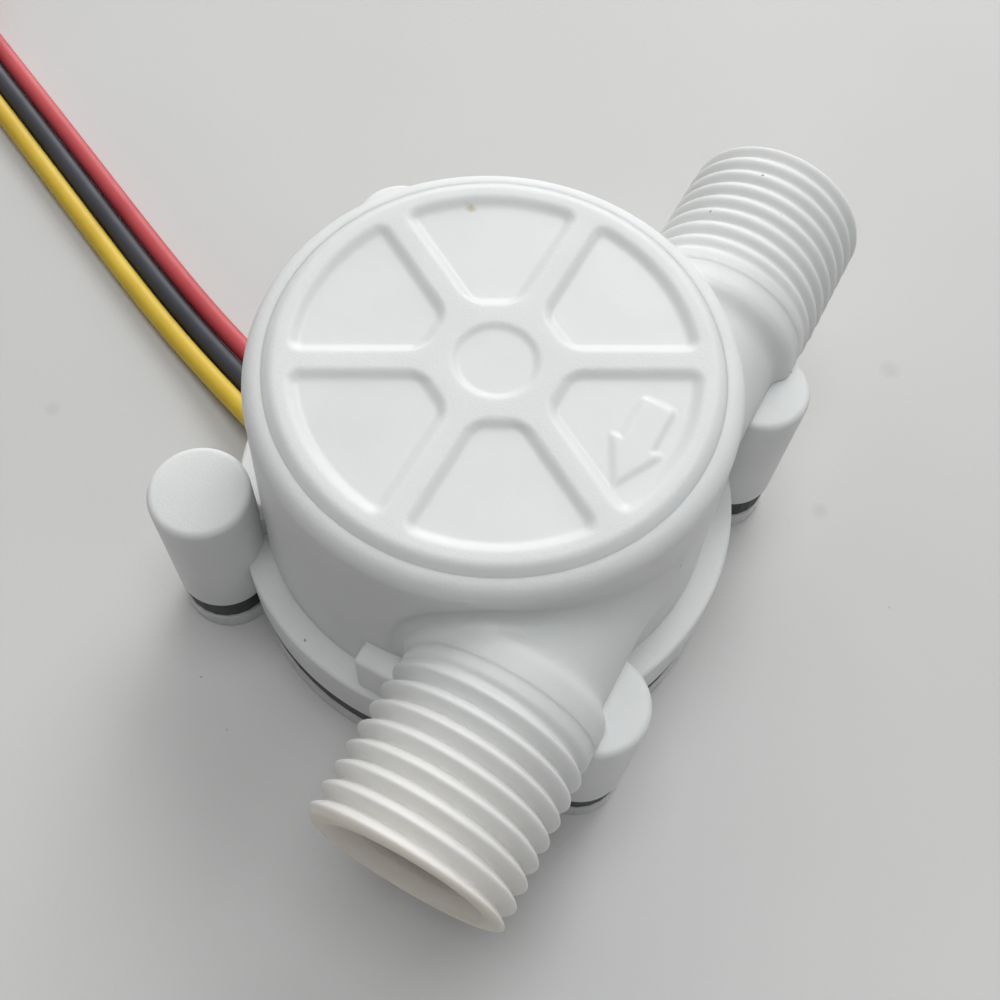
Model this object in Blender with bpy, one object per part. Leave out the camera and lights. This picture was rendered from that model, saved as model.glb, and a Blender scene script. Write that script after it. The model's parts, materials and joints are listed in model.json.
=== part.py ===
"""Turbine water flow sensor with a straight threaded pipe beside a round rotor chamber.

Metres, +Z up. X runs from the chamber towards the pipe, Y runs along the pipe, and the
origin is the centre of the chamber on the underside of the base plate.
"""

import math

import bmesh
import bpy
from mathutils import Matrix, Vector

# Seats and running clearances
SEAT_GAP = 0.0002
ROUND_GAP = 0.0003

# Length that working solids run on past the face that a later cut gives them
TRIM = 0.0004

# Stack of base plate, gasket and housing
BASE_THICKNESS = 0.0016
GASKET_SPACE = 0.0024
HOUSING_HEIGHT = 0.0210
HOUSING_BOTTOM = BASE_THICKNESS + GASKET_SPACE
HOUSING_TOP = HOUSING_BOTTOM + HOUSING_HEIGHT

# Rotor chamber and its cover
CHAMBER_RADIUS = 0.0134
WALL_THICKNESS = 0.0021
WALL_DRAFT = 0.0005
COVER_THICKNESS = 0.0030
SHOULDER_ROUND = 0.0013
RIM_HEIGHT = 0.0010
RIM_STEP = 0.0014
CEILING = HOUSING_TOP - COVER_THICKNESS
WALL_TOP_RADIUS = CHAMBER_RADIUS + WALL_THICKNESS
WALL_BASE_RADIUS = WALL_TOP_RADIUS + WALL_DRAFT
RIM_RADIUS = WALL_TOP_RADIUS - RIM_STEP

# Flange round the foot of the housing
FLANGE_WIDTH = 0.0019
FLANGE_ROOF = 0.0008
BOARD_POCKET_HEIGHT = 0.0038
FLANGE_HEIGHT = BOARD_POCKET_HEIGHT + FLANGE_ROOF
FLANGE_ROUND = 0.0004
FLANGE_RADIUS = WALL_BASE_RADIUS + FLANGE_WIDTH
FLANGE_TOP = HOUSING_BOTTOM + FLANGE_HEIGHT

# Six relief pockets in the cover, between three ribs that cross at a hub
POCKET_COUNT = 6
POCKET_MARGIN = 0.0013
POCKET_DEPTH = 0.0010
POCKET_SLOPE = 0.0005
POCKET_CORNER = 0.0010
RIB_WIDTH = 0.0010
HUB_FLAT = 0.0042
HUB_RECESS_RADIUS = 0.00276
HUB_RECESS_DEPTH = 0.0003
POCKET_RADIUS = RIM_RADIUS - POCKET_MARGIN

# Flow arrow that stands on the floor of one pocket
ARROW_LENGTH = 0.0056
ARROW_HEAD_WIDTH = 0.0034
ARROW_HEAD_LENGTH = 0.0027
ARROW_SHAFT_WIDTH = 0.0020
ARROW_HEIGHT = 0.0003
ARROW_X = 0.0099
ARROW_Y = -0.0004

# Straight pipe that passes beside the chamber
PIPE_LENGTH = 0.0550
PIPE_OFFSET = 0.00935
PIPE_AXIS_HEIGHT = 0.0156
BORE_RADIUS = 0.00425
BORE_CHAMFER = 0.0005
NECK_RADIUS = 0.00525
COLLAR_RADIUS = 0.00645
COLLAR_SHOULDER = 0.0142
COLLAR_WIDTH = 0.0031
THREAD_RADIUS = 0.00658
THREAD_DEPTH = 0.00075
THREAD_PITCH = 0.001337
PIPE_END = PIPE_LENGTH / 2
THREAD_ROOT_RADIUS = THREAD_RADIUS - THREAD_DEPTH
THREAD_TURNS = int((PIPE_END - COLLAR_SHOULDER - COLLAR_WIDTH) / THREAD_PITCH)

# Support block under each collar
BLOCK_LEFT = -0.00035
BLOCK_REACH = 0.0174
BLOCK_DROP = 0.0025
BLOCK_TOP = PIPE_AXIS_HEIGHT - BLOCK_DROP

# Screw bosses at the four corners
BOSS_RADIUS = 0.0034
BOSS_STANDOUT = 0.00166
BOSS_ANGLE = math.radians(41.85)
BOSS_ROUND = 0.0003
BOSS_WEB = 0.0020
SCREW_SHANK_RADIUS = 0.00095
SCREW_HEAD_RADIUS = 0.0019
SCREW_HEAD_HEIGHT = 0.0010
SCREW_ROOF = 0.0040
SCREW_LENGTH = PIPE_AXIS_HEIGHT - SCREW_ROOF - BASE_THICKNESS
SCREW_SLOT_WIDTH = 0.00045
SCREW_SLOT_LENGTH = 0.0022
SCREW_SLOT_DEPTH = 0.0006
SCREW_TIP_LENGTH = 0.0010
BOSS_CIRCLE = FLANGE_RADIUS + BOSS_STANDOUT
BOSS_CENTRES = [
    (side_x * BOSS_CIRCLE * math.cos(BOSS_ANGLE), side_y * BOSS_CIRCLE * math.sin(BOSS_ANGLE))
    for side_x in (-1, 1)
    for side_y in (-1, 1)
]

# Base plate
SPIGOT_WALL = 0.0012
SPIGOT_HEIGHT = 0.0038
BASE_BOSS_RADIUS = 0.0024
BASE_BOSS_HEIGHT = 0.0044
SHAFT_SOCKET_DEPTH = 0.0044

# Gasket
GASKET_INSET = 0.00015
LEAD_NOTCH_WIDTH = 0.0066
SEAL_WIDTH = 0.0013

# Shaft, bearings and washers
SHAFT_RADIUS = 0.0010
SHAFT_RUNNING_GAP = 0.00008
CEILING_BOSS_RADIUS = 0.0022
CEILING_BOSS_HEIGHT = 0.0014
CEILING_SOCKET_DEPTH = 0.0012
BUSH_WALL = 0.0007
BUSH_LENGTH = 0.0030
WASHER_THICKNESS = 0.0004
WASHER_WIDTH = 0.0010
AXIAL_GAP = 0.00015

# Rotor
TIP_CLEARANCE = 0.0010
VANE_COUNT = 8
VANE_THICKNESS = 0.0012
ROTOR_HUB_RADIUS = 0.0032
ROTOR_DISC_THICKNESS = 0.0026
VANE_TOP_GAP = 0.0005
MAGNET_COUNT = 4
MAGNET_RADIUS = 0.0009
MAGNET_LENGTH = 0.0020
MAGNET_INSET = 0.0003

# Sensor board in a pocket of the flange, open from below
POCKET_OUTER_WALL = 0.0010
BOARD_POCKET_DEPTH = 0.0025
BOARD_POCKET_WIDTH = 0.0064
BOARD_THICKNESS = 0.0008
BOARD_HANG = 0.00005
CHIP_WIDTH = 0.0029
CHIP_HEIGHT = 0.0015
CHIP_THICKNESS = 0.0009
CHIP_LIFT = 0.0014
SMALL_PART_WIDTH = 0.0007
SMALL_PART_HEIGHT = 0.0014
SMALL_PART_THICKNESS = 0.0005
SMALL_PART_GAP = 0.0003
BOARD_POCKET_OUTSIDE = FLANGE_RADIUS - POCKET_OUTER_WALL

# Lead of three wires, with a coil, a tie and a plug
WIRE_DIAMETER = 0.0017
WIRE_PITCH = 0.0018
WIRE_POINT_SPACING = 2.4 * WIRE_DIAMETER
WIRE_START = -0.0158
LEAD_HEIGHT = HOUSING_BOTTOM - GASKET_SPACE / 2
LYING_HEIGHT = WIRE_DIAMETER / 2 + 0.00005
COIL_CENTRE = Vector((-0.08063, 0.01883))
COIL_START_RADIUS = 0.0076
COIL_TURNS = 1.1
COIL_PITCH = 0.0045
BUNDLE_WIDTH = 0.0036
BUNDLE_HEIGHT = 0.00326
COIL_LIFT = 0.00055
COIL_INSIDE = COIL_START_RADIUS - WIRE_PITCH - WIRE_DIAMETER / 2
COIL_OUTSIDE = COIL_START_RADIUS + COIL_TURNS * COIL_PITCH + BUNDLE_WIDTH / 2
TIE_ANGLE = math.radians(84)
TIE_WIDTH = 0.0024
TIE_THICKNESS = 0.0003
TIE_HEAD = 0.0030
PLUG_WIDTH = 0.0098
PLUG_THICKNESS = 0.0058
PLUG_LENGTH = 0.0090
PLUG_PITCH = 0.0025
PLUG_CENTRE = Vector((-0.1007, 0.0279))
PLUG_ANGLE = math.radians(101)
PLUG_CAVITY_WIDTH = 0.0021
PLUG_CAVITY_HEIGHT = 0.0026
PLUG_KEY_WIDTH = 0.0012
PLUG_KEY_HEIGHT = 0.0006
TERMINAL_LENGTH = 0.0060
TERMINAL_WIDTH = 0.0015
TERMINAL_HEIGHT = 0.0016
TERMINAL_SHEET = 0.0003

# Facets of round shapes
ROUND_SEGMENTS = 72
PIPE_SEGMENTS = 40
SMALL_SEGMENTS = 24

WIRES = {"red": 1, "black": 0, "yellow": -1}


def clear_scene():
    for obj in list(bpy.data.objects):
        bpy.data.objects.remove(obj, do_unlink=True)


def material(name, colour, roughness, metallic=0.0):
    made = bpy.data.materials.get(name)
    if made:
        return made
    made = bpy.data.materials.new(name)
    made.use_nodes = True
    shader = made.node_tree.nodes["Principled BSDF"]
    shader.inputs["Base Color"].default_value = (*colour, 1.0)
    shader.inputs["Roughness"].default_value = roughness
    shader.inputs["Metallic"].default_value = metallic
    return made


def white_plastic():
    return material("white_plastic", (0.80, 0.81, 0.80), 0.45)


def black_rubber():
    return material("black_rubber", (0.02, 0.022, 0.024), 0.6)


def steel():
    return material("steel", (0.55, 0.55, 0.56), 0.3, 1.0)


def add_object(name, mesh, finish=None):
    obj = bpy.data.objects.new(name, mesh)
    bpy.context.collection.objects.link(obj)
    if finish:
        mesh.materials.clear()
        mesh.materials.append(finish)
    mesh.shade_smooth()
    mesh.set_sharp_from_angle(angle=math.radians(32))
    return obj


def mesh_from(bm, name="solid"):
    bmesh.ops.recalc_face_normals(bm, faces=bm.faces)
    mesh = bpy.data.meshes.new(name)
    bm.to_mesh(mesh)
    bm.free()
    return mesh


def solid(bm):
    """A working solid, which a boolean joins or cuts and then removes."""
    obj = bpy.data.objects.new("working_solid", mesh_from(bm))
    bpy.context.collection.objects.link(obj)
    return obj


def lathe(profile, segments, axis="Z"):
    """Closed turned solid. The profile is a closed list of (radius, height) pairs."""
    bm = bmesh.new()
    rings = []
    for radius, height in profile:
        if radius <= 0:
            rings.append([bm.verts.new((0, 0, height))])
            continue
        angles = (2 * math.pi * k / segments for k in range(segments))
        rings.append(
            [bm.verts.new((radius * math.cos(a), radius * math.sin(a), height)) for a in angles]
        )
    for ring, above in zip(rings, rings[1:] + rings[:1]):
        for k in range(segments):
            after = (k + 1) % segments
            corners = [ring[k % len(ring)], ring[after % len(ring)]]
            corners += [above[after % len(above)], above[k % len(above)]]
            distinct = list(dict.fromkeys(corners))
            if len(distinct) > 2:
                bm.faces.new(distinct)
    if axis == "Y":
        bm.transform(Matrix.Rotation(math.radians(-90), 4, "X"))
    return bm


def prism(outline, low, high):
    """Upright prism over a closed outline of (x, y) points."""
    return loft(outline, outline, low, high)


def loft(lower, upper, low, high):
    """Solid between two outlines with the same number of points."""
    bm = bmesh.new()
    bottom = [bm.verts.new((x, y, low)) for x, y in lower]
    top = [bm.verts.new((x, y, high)) for x, y in upper]
    bm.faces.new(bottom)
    bm.faces.new(top)
    for k in range(len(bottom)):
        after = (k + 1) % len(bottom)
        bm.faces.new((bottom[k], bottom[after], top[after], top[k]))
    return bm


def box(low, high):
    (x0, y0, z0), (x1, y1, z1) = low, high
    return prism([(x0, y0), (x1, y0), (x1, y1), (x0, y1)], z0, z1)


def disc(centre, radius, low, high, segments=SMALL_SEGMENTS):
    return prism(circle(centre, radius, segments), low, high)


def circle(centre, radius, segments):
    return [
        (
            centre[0] + radius * math.cos(2 * math.pi * k / segments),
            centre[1] + radius * math.sin(2 * math.pi * k / segments),
        )
        for k in range(segments)
    ]


def arc(centre, radius, start, end, steps):
    return [
        (
            centre[0] + radius * math.cos(start + (end - start) * k / steps),
            centre[1] + radius * math.sin(start + (end - start) * k / steps),
        )
        for k in range(steps + 1)
    ]


def boolean(target, tools, operation):
    """Joins or cuts the target with each tool in turn, and removes the tools."""
    for tool in tools:
        modifier = target.modifiers.new("boolean", "BOOLEAN")
        modifier.operation = operation
        modifier.solver = "EXACT"
        modifier.object = tool
        depsgraph = bpy.context.evaluated_depsgraph_get()
        made = bpy.data.meshes.new_from_object(target.evaluated_get(depsgraph))
        target.modifiers.clear()
        target.data = made
        bpy.data.objects.remove(tool, do_unlink=True)
    return target


def finished(target, name, finish):
    """Names a working solid, welds its seams and gives it its material."""
    bm = bmesh.new()
    bm.from_mesh(target.data)
    bmesh.ops.remove_doubles(bm, verts=bm.verts, dist=0.000002)
    bmesh.ops.dissolve_degenerate(bm, edges=bm.edges, dist=0.000001)
    mesh = mesh_from(bm, name)
    bpy.data.objects.remove(target, do_unlink=True)
    return add_object(name, mesh, finish)


def outer_body():
    """Flange, drafted wall, rounded shoulder and raised rim, as one turned solid."""
    shoulder = WALL_TOP_RADIUS - SHOULDER_ROUND
    shoulder_height = HOUSING_TOP - RIM_HEIGHT - SHOULDER_ROUND
    profile = [
        (0, HOUSING_BOTTOM - TRIM),
        (FLANGE_RADIUS, HOUSING_BOTTOM - TRIM),
        (FLANGE_RADIUS, FLANGE_TOP - FLANGE_ROUND),
        (FLANGE_RADIUS - FLANGE_ROUND * 0.3, FLANGE_TOP - FLANGE_ROUND * 0.3),
        (FLANGE_RADIUS - FLANGE_ROUND, FLANGE_TOP),
        (WALL_BASE_RADIUS + FLANGE_ROUND, FLANGE_TOP),
        (WALL_BASE_RADIUS, FLANGE_TOP + FLANGE_ROUND),
    ]
    profile += arc((shoulder, shoulder_height), SHOULDER_ROUND, 0, math.pi / 2, 4)[:-1]
    profile += [
        (RIM_RADIUS + RIM_HEIGHT * 0.1, HOUSING_TOP - RIM_HEIGHT),
        (RIM_RADIUS, HOUSING_TOP - RIM_HEIGHT * 0.5),
        (RIM_RADIUS - RIM_HEIGHT * 0.15, HOUSING_TOP - RIM_HEIGHT * 0.15),
        (RIM_RADIUS - RIM_HEIGHT * 0.5, HOUSING_TOP),
        (0, HOUSING_TOP),
    ]
    return solid(lathe(profile, ROUND_SEGMENTS))


def pipe_body():
    """Neck, collars and thread crests, turned round the pipe axis. The crests are plain rings."""
    half = [
        (NECK_RADIUS, COLLAR_SHOULDER),
        (COLLAR_RADIUS, COLLAR_SHOULDER),
        (COLLAR_RADIUS, COLLAR_SHOULDER + COLLAR_WIDTH),
        (THREAD_ROOT_RADIUS, COLLAR_SHOULDER + COLLAR_WIDTH + THREAD_PITCH / 4),
    ]
    for turn in range(THREAD_TURNS):
        crest = PIPE_END - (THREAD_TURNS - turn - 0.45) * THREAD_PITCH
        half += [
            (THREAD_RADIUS, crest),
            (THREAD_ROOT_RADIUS, crest + THREAD_PITCH / 2),
        ]
    half[-1] = (THREAD_ROOT_RADIUS, PIPE_END)
    half.append((0, PIPE_END))
    profile = [(radius, -y) for radius, y in reversed(half)] + half
    pipe = solid(lathe(profile, PIPE_SEGMENTS, "Y"))
    pipe.data.transform(Matrix.Translation((PIPE_OFFSET, 0, PIPE_AXIS_HEIGHT)))
    return pipe


def bosses(low, high, radius):
    return [solid(disc(centre, radius, low, high)) for centre in BOSS_CENTRES]


def screw_boss(centre):
    """Round boss with a softened top edge and a web to the chamber wall."""
    profile = [
        (0, HOUSING_BOTTOM - 2 * TRIM),
        (BOSS_RADIUS, HOUSING_BOTTOM - 2 * TRIM),
        (BOSS_RADIUS, PIPE_AXIS_HEIGHT - BOSS_ROUND),
        (BOSS_RADIUS - BOSS_ROUND, PIPE_AXIS_HEIGHT),
        (0, PIPE_AXIS_HEIGHT),
    ]
    boss = solid(lathe(profile, SMALL_SEGMENTS))
    boss.data.transform(Matrix.Translation((*centre, 0)))
    reach = math.hypot(*centre) + BOSS_RADIUS / 3
    web = solid(
        box(
            (CHAMBER_RADIUS + WALL_THICKNESS / 2, -BOSS_WEB / 2, HOUSING_BOTTOM - 3 * TRIM),
            (reach, BOSS_WEB / 2, PIPE_AXIS_HEIGHT - 2 * BOSS_ROUND),
        )
    )
    web.data.transform(Matrix.Rotation(math.atan2(centre[1], centre[0]), 4, "Z"))
    return boolean(boss, [web], "UNION")


def support_block(side):
    """Block under a collar. Its inner edge runs inside the boss's web."""
    boss_x, boss_y = BOSS_CENTRES[-1]
    inside = CHAMBER_RADIUS * 0.8 / math.hypot(boss_x, boss_y)
    right = boss_x - TRIM
    outline = [
        (BLOCK_LEFT, boss_y * inside),
        (boss_x * inside, boss_y * inside),
        (right, boss_y),
        (right, BLOCK_REACH),
        (BLOCK_LEFT, BLOCK_REACH),
    ]
    sided = [(x, side * y) for x, y in outline]
    return solid(prism(sided, HOUSING_BOTTOM - 4 * TRIM, BLOCK_TOP))


def pocket_outline(inset):
    """Rounded sector between two ribs, on the +X side, drawn inwards by inset."""
    rib = RIB_WIDTH / 2 + inset
    outer = POCKET_RADIUS - inset
    corner = POCKET_CORNER - inset * 0.5
    flat = HUB_FLAT + inset
    half_angle = math.pi / POCKET_COUNT
    reach = math.sqrt((outer - corner) ** 2 - (rib + corner) ** 2)
    spread = math.atan2(rib + corner, reach)
    outer_centre = (outer - corner, half_angle - spread)
    inner_x = flat + corner
    inner_y = (inner_x * math.sin(half_angle) - rib - corner) / math.cos(half_angle)
    centre = (
        outer_centre[0] * math.cos(outer_centre[1]),
        outer_centre[0] * math.sin(outer_centre[1]),
    )
    side = arc(centre, corner, outer_centre[1], half_angle + math.pi / 2, 4)
    side += arc((inner_x, inner_y), corner, half_angle + math.pi / 2, math.pi, 4)
    rim = arc((0, 0), outer, -outer_centre[1], outer_centre[1], 10)[1:-1]
    mirrored = [(x, -y) for x, y in reversed(side)]
    return side + mirrored + rim


def pocket_cutter(index):
    floor = HOUSING_TOP - POCKET_DEPTH
    above = POCKET_DEPTH
    lower, upper = pocket_outline(POCKET_SLOPE), pocket_outline(-POCKET_SLOPE)
    cutter = solid(loft(lower, upper, floor, HOUSING_TOP + above))
    cutter.data.transform(Matrix.Rotation(2 * math.pi * index / POCKET_COUNT, 4, "Z"))
    return cutter


def flow_arrow():
    """Low arrow that points along -Y, with its foot inside the cover."""
    tail, tip = ARROW_Y + ARROW_LENGTH / 2, ARROW_Y - ARROW_LENGTH / 2
    neck = tip + ARROW_HEAD_LENGTH
    shaft, head = ARROW_SHAFT_WIDTH / 2, ARROW_HEAD_WIDTH / 2
    right = [(shaft, tail), (shaft, neck), (head, neck), (0, tip)]
    left = [(-x, y) for x, y in reversed(right[:-1])]
    outline = [(ARROW_X + x, y) for x, y in right + left]
    floor = HOUSING_TOP - POCKET_DEPTH
    return solid(prism(outline, floor - POCKET_DEPTH / 2, floor + ARROW_HEIGHT))


def hub_recess():
    """Shallow round dish in the middle of the hub."""
    floor, rise = HOUSING_TOP - HUB_RECESS_DEPTH, 2 * HUB_RECESS_DEPTH
    radius = HUB_RECESS_RADIUS
    profile = [(0, floor), (radius - rise / 2, floor), (radius + rise / 2, floor + rise)]
    return solid(lathe([*profile, (0, floor + rise)], ROUND_SEGMENTS // 2))


def chamber_cutter():
    """Chamber with the boss that holds the top of the shaft left standing."""
    socket_top = CEILING + CEILING_SOCKET_DEPTH
    socket = SHAFT_RADIUS + SHAFT_RUNNING_GAP
    boss_bottom = CEILING - CEILING_BOSS_HEIGHT
    profile = [
        (0, HOUSING_BOTTOM - SEAT_GAP * 5),
        (CHAMBER_RADIUS, HOUSING_BOTTOM - SEAT_GAP * 5),
        (CHAMBER_RADIUS, CEILING),
        (CEILING_BOSS_RADIUS, CEILING),
        (CEILING_BOSS_RADIUS, boss_bottom),
        (socket, boss_bottom),
        (socket, socket_top),
        (0, socket_top),
    ]
    return solid(lathe(profile, ROUND_SEGMENTS))


def bore_cutter(side):
    """Bore from one pipe end into the chamber, with a chamfered mouth."""
    inner_end = math.sqrt(CHAMBER_RADIUS**2 - PIPE_OFFSET**2) * 0.85
    profile = [
        (0, inner_end),
        (BORE_RADIUS, inner_end),
        (BORE_RADIUS, PIPE_END - BORE_CHAMFER),
        (BORE_RADIUS + 2 * BORE_CHAMFER, PIPE_END + BORE_CHAMFER),
        (0, PIPE_END + BORE_CHAMFER),
    ]
    if side < 0:
        profile = [(radius, -y) for radius, y in reversed(profile)]
    bore = solid(lathe(profile, PIPE_SEGMENTS, "Y"))
    bore.data.transform(Matrix.Translation((PIPE_OFFSET, 0, PIPE_AXIS_HEIGHT)))
    return bore


def board_pocket_cutter():
    """Pocket for the sensor board, open towards the gasket."""
    half = BOARD_POCKET_WIDTH / 2
    return solid(
        box(
            (-BOARD_POCKET_OUTSIDE, -half, HOUSING_BOTTOM - SEAT_GAP * 5),
            (
                -BOARD_POCKET_OUTSIDE + BOARD_POCKET_DEPTH,
                half,
                HOUSING_BOTTOM + BOARD_POCKET_HEIGHT,
            ),
        )
    )


def below_joint():
    """Everything under the joint plane, which leaves the housing a flat foot."""
    reach = PIPE_LENGTH
    return solid(box((-reach, -reach, -reach), (reach, reach, HOUSING_BOTTOM)))


def make_housing():
    """One moulding: chamber and cover, pipe, bosses, flange and support blocks."""
    housing = outer_body()
    additions = [pipe_body(), support_block(-1), support_block(1)]
    additions += [screw_boss(centre) for centre in BOSS_CENTRES]
    boolean(housing, additions, "UNION")
    cuts = [below_joint(), chamber_cutter(), board_pocket_cutter()]
    cuts += [bore_cutter(side) for side in (-1, 1)]
    cuts += [*(pocket_cutter(index) for index in range(POCKET_COUNT)), hub_recess()]
    screw_room = BASE_THICKNESS + SCREW_LENGTH
    cuts += bosses(
        HOUSING_BOTTOM - SEAT_GAP * 5, screw_room, SCREW_SHANK_RADIUS + ROUND_GAP
    )
    boolean(housing, cuts, "DIFFERENCE")
    boolean(housing, [flow_arrow()], "UNION")
    return finished(housing, "housing", white_plastic())


def plate_with_ears(radius, ear, low, high):
    """Round plate with an ear at each screw."""
    plate = solid(disc((0, 0), radius, low, high, ROUND_SEGMENTS))
    for centre in BOSS_CENTRES:
        ear_solid = solid(disc(centre, ear, low, high))
        boolean(plate, [ear_solid], "UNION")
    return plate


def make_base_plate():
    plate = plate_with_ears(FLANGE_RADIUS, BOSS_RADIUS, 0, BASE_THICKNESS)
    outer = CHAMBER_RADIUS - ROUND_GAP
    inner = outer - SPIGOT_WALL
    low, high = BASE_THICKNESS / 2, BASE_THICKNESS + SPIGOT_HEIGHT
    ring = solid(lathe([(inner, low), (outer, low), (outer, high), (inner, high)], ROUND_SEGMENTS))
    boss_top = BASE_THICKNESS + BASE_BOSS_HEIGHT
    boss = solid(disc((0, 0), BASE_BOSS_RADIUS, low, boss_top))
    boolean(plate, [ring, boss], "UNION")
    socket = SHAFT_RADIUS + SHAFT_RUNNING_GAP
    cuts = [solid(disc((0, 0), socket, boss_top - SHAFT_SOCKET_DEPTH, boss_top + SEAT_GAP))]
    cuts += [countersink(centre) for centre in BOSS_CENTRES]
    boolean(plate, cuts, "DIFFERENCE")
    return finished(plate, "base_plate", white_plastic())


def countersink(centre):
    head, shank = SCREW_HEAD_RADIUS + ROUND_GAP, SCREW_SHANK_RADIUS + ROUND_GAP
    profile = [
        (0, -SEAT_GAP),
        (head, -SEAT_GAP),
        (head, SEAT_GAP),
        (shank, SEAT_GAP + SCREW_HEAD_HEIGHT),
        (shank, BASE_THICKNESS + SEAT_GAP),
        (0, BASE_THICKNESS + SEAT_GAP),
    ]
    cutter = solid(lathe(profile, SMALL_SEGMENTS))
    cutter.data.transform(Matrix.Translation((*centre, 0)))
    return cutter


def make_gasket():
    low, high = BASE_THICKNESS + SEAT_GAP, HOUSING_BOTTOM - SEAT_GAP
    gasket = plate_with_ears(
        FLANGE_RADIUS - GASKET_INSET, BOSS_RADIUS - GASKET_INSET, low, high
    )
    cuts = [solid(disc((0, 0), CHAMBER_RADIUS, low - SEAT_GAP, high + SEAT_GAP, ROUND_SEGMENTS))]
    cuts += bosses(low - SEAT_GAP, high + SEAT_GAP, SCREW_SHANK_RADIUS + 1.5 * ROUND_GAP)
    half = LEAD_NOTCH_WIDTH / 2
    cuts.append(
        solid(
            box(
                (-FLANGE_RADIUS - SEAT_GAP, -half, low - SEAT_GAP),
                (-CHAMBER_RADIUS - SEAL_WIDTH, half, high + SEAT_GAP),
            )
        )
    )
    boolean(gasket, cuts, "DIFFERENCE")
    return finished(gasket, "gasket", black_rubber())


def make_screw(index, centre):
    """Countersunk screw that comes up from below, with a cross recess."""
    head_top = SEAT_GAP + SCREW_HEAD_HEIGHT
    end = BASE_THICKNESS + SCREW_LENGTH - SEAT_GAP * 2
    profile = [
        (0, SEAT_GAP),
        (SCREW_HEAD_RADIUS, SEAT_GAP),
        (SCREW_HEAD_RADIUS, SEAT_GAP * 2),
        (SCREW_SHANK_RADIUS, head_top),
        (SCREW_SHANK_RADIUS, end - SCREW_TIP_LENGTH),
        (SCREW_SHANK_RADIUS * 0.4, end),
        (0, end),
    ]
    screw = solid(lathe(profile, SMALL_SEGMENTS))
    long, wide = SCREW_SLOT_LENGTH / 2, SCREW_SLOT_WIDTH / 2
    recess = solid(box((-long, -wide, 0), (long, wide, SEAT_GAP + SCREW_SLOT_DEPTH)))
    across = solid(box((-wide, -long, 0), (wide, long, SEAT_GAP + SCREW_SLOT_DEPTH)))
    boolean(recess, [across], "UNION")
    boolean(screw, [recess], "DIFFERENCE")
    made = finished(screw, f"screw_{index}", steel())
    made.data.transform(Matrix.Rotation(math.radians(20 + 37 * index), 4, "Z"))
    made.location = (*centre, 0)
    return made


def rotor_heights():
    """Bottom and top of the rotor hub, between the two thrust washers."""
    washer_space = WASHER_THICKNESS + 2 * AXIAL_GAP
    low = BASE_THICKNESS + BASE_BOSS_HEIGHT + washer_space
    high = CEILING - CEILING_BOSS_HEIGHT - washer_space
    return low, high


def make_rotor(body):
    """Hub, magnet disc and straight vanes, moulded in one piece."""
    low, high = rotor_heights()
    disc_top = low + ROTOR_DISC_THICKNESS
    tip = CHAMBER_RADIUS - TIP_CLEARANCE
    hole = SHAFT_RADIUS + SHAFT_RUNNING_GAP + BUSH_WALL + SEAT_GAP / 2
    rotor = solid(
        lathe(
            [
                (0, low),
                (tip, low),
                (tip, disc_top),
                (ROTOR_HUB_RADIUS, disc_top),
                (ROTOR_HUB_RADIUS, high),
                (0, high),
            ],
            ROUND_SEGMENTS,
        )
    )
    vane_top = high - VANE_TOP_GAP
    for index in range(VANE_COUNT):
        vane = solid(
            box(
                (ROTOR_HUB_RADIUS / 2, -VANE_THICKNESS / 2, disc_top - SEAT_GAP),
                (tip - SEAT_GAP, VANE_THICKNESS / 2, vane_top),
            )
        )
        turn = math.pi / VANE_COUNT + 2 * math.pi * index / VANE_COUNT
        vane.data.transform(Matrix.Rotation(turn, 4, "Z"))
        boolean(rotor, [vane], "UNION")
    cuts = [solid(disc((0, 0), hole, low - SEAT_GAP, high + SEAT_GAP))]
    for index in range(MAGNET_COUNT):
        cuts.append(
            magnet_solid(
                index,
                MAGNET_RADIUS + SEAT_GAP / 2,
                tip - MAGNET_INSET - MAGNET_LENGTH - SEAT_GAP,
                tip + SEAT_GAP,
            )
        )
    boolean(rotor, cuts, "DIFFERENCE")
    made = finished(rotor, "rotor", material("grey_plastic", (0.42, 0.44, 0.45), 0.5))
    made.parent = body
    return made


def magnet_solid(index, radius, inner, outer):
    """Cylinder that lies along a radius of the rotor, at the middle of its disc."""
    low, _ = rotor_heights()
    magnet = solid(disc((0, 0), radius, inner, outer, 16))
    magnet.data.transform(Matrix.Rotation(math.radians(90), 4, "Y"))
    magnet.data.transform(Matrix.Translation((0, 0, low + ROTOR_DISC_THICKNESS / 2)))
    turn = 2 * math.pi * index / MAGNET_COUNT
    magnet.data.transform(Matrix.Rotation(turn, 4, "Z"))
    return magnet


def make_magnet(index, body):
    tip = CHAMBER_RADIUS - TIP_CLEARANCE
    outer = tip - MAGNET_INSET
    magnet = magnet_solid(index, MAGNET_RADIUS, outer - MAGNET_LENGTH, outer)
    made = finished(
        magnet, f"rotor_magnet_{index + 1}", material("magnet", (0.16, 0.16, 0.17), 0.35, 0.8)
    )
    made.parent = body
    return made


def make_bush(name, low, body):
    inner = SHAFT_RADIUS + SHAFT_RUNNING_GAP
    outer = inner + BUSH_WALL
    high = low + BUSH_LENGTH
    profile = [(inner, low), (outer, low), (outer, high), (inner, high)]
    bush = solid(lathe(profile, SMALL_SEGMENTS))
    made = finished(bush, name, material("acetal", (0.75, 0.73, 0.66), 0.4))
    made.parent = body
    return made


def make_washer(name, low):
    inner = SHAFT_RADIUS + SHAFT_RUNNING_GAP
    outer = inner + WASHER_WIDTH
    high = low + WASHER_THICKNESS
    profile = [(inner, low), (outer, low), (outer, high), (inner, high)]
    return finished(solid(lathe(profile, SMALL_SEGMENTS)), name, steel())


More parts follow.
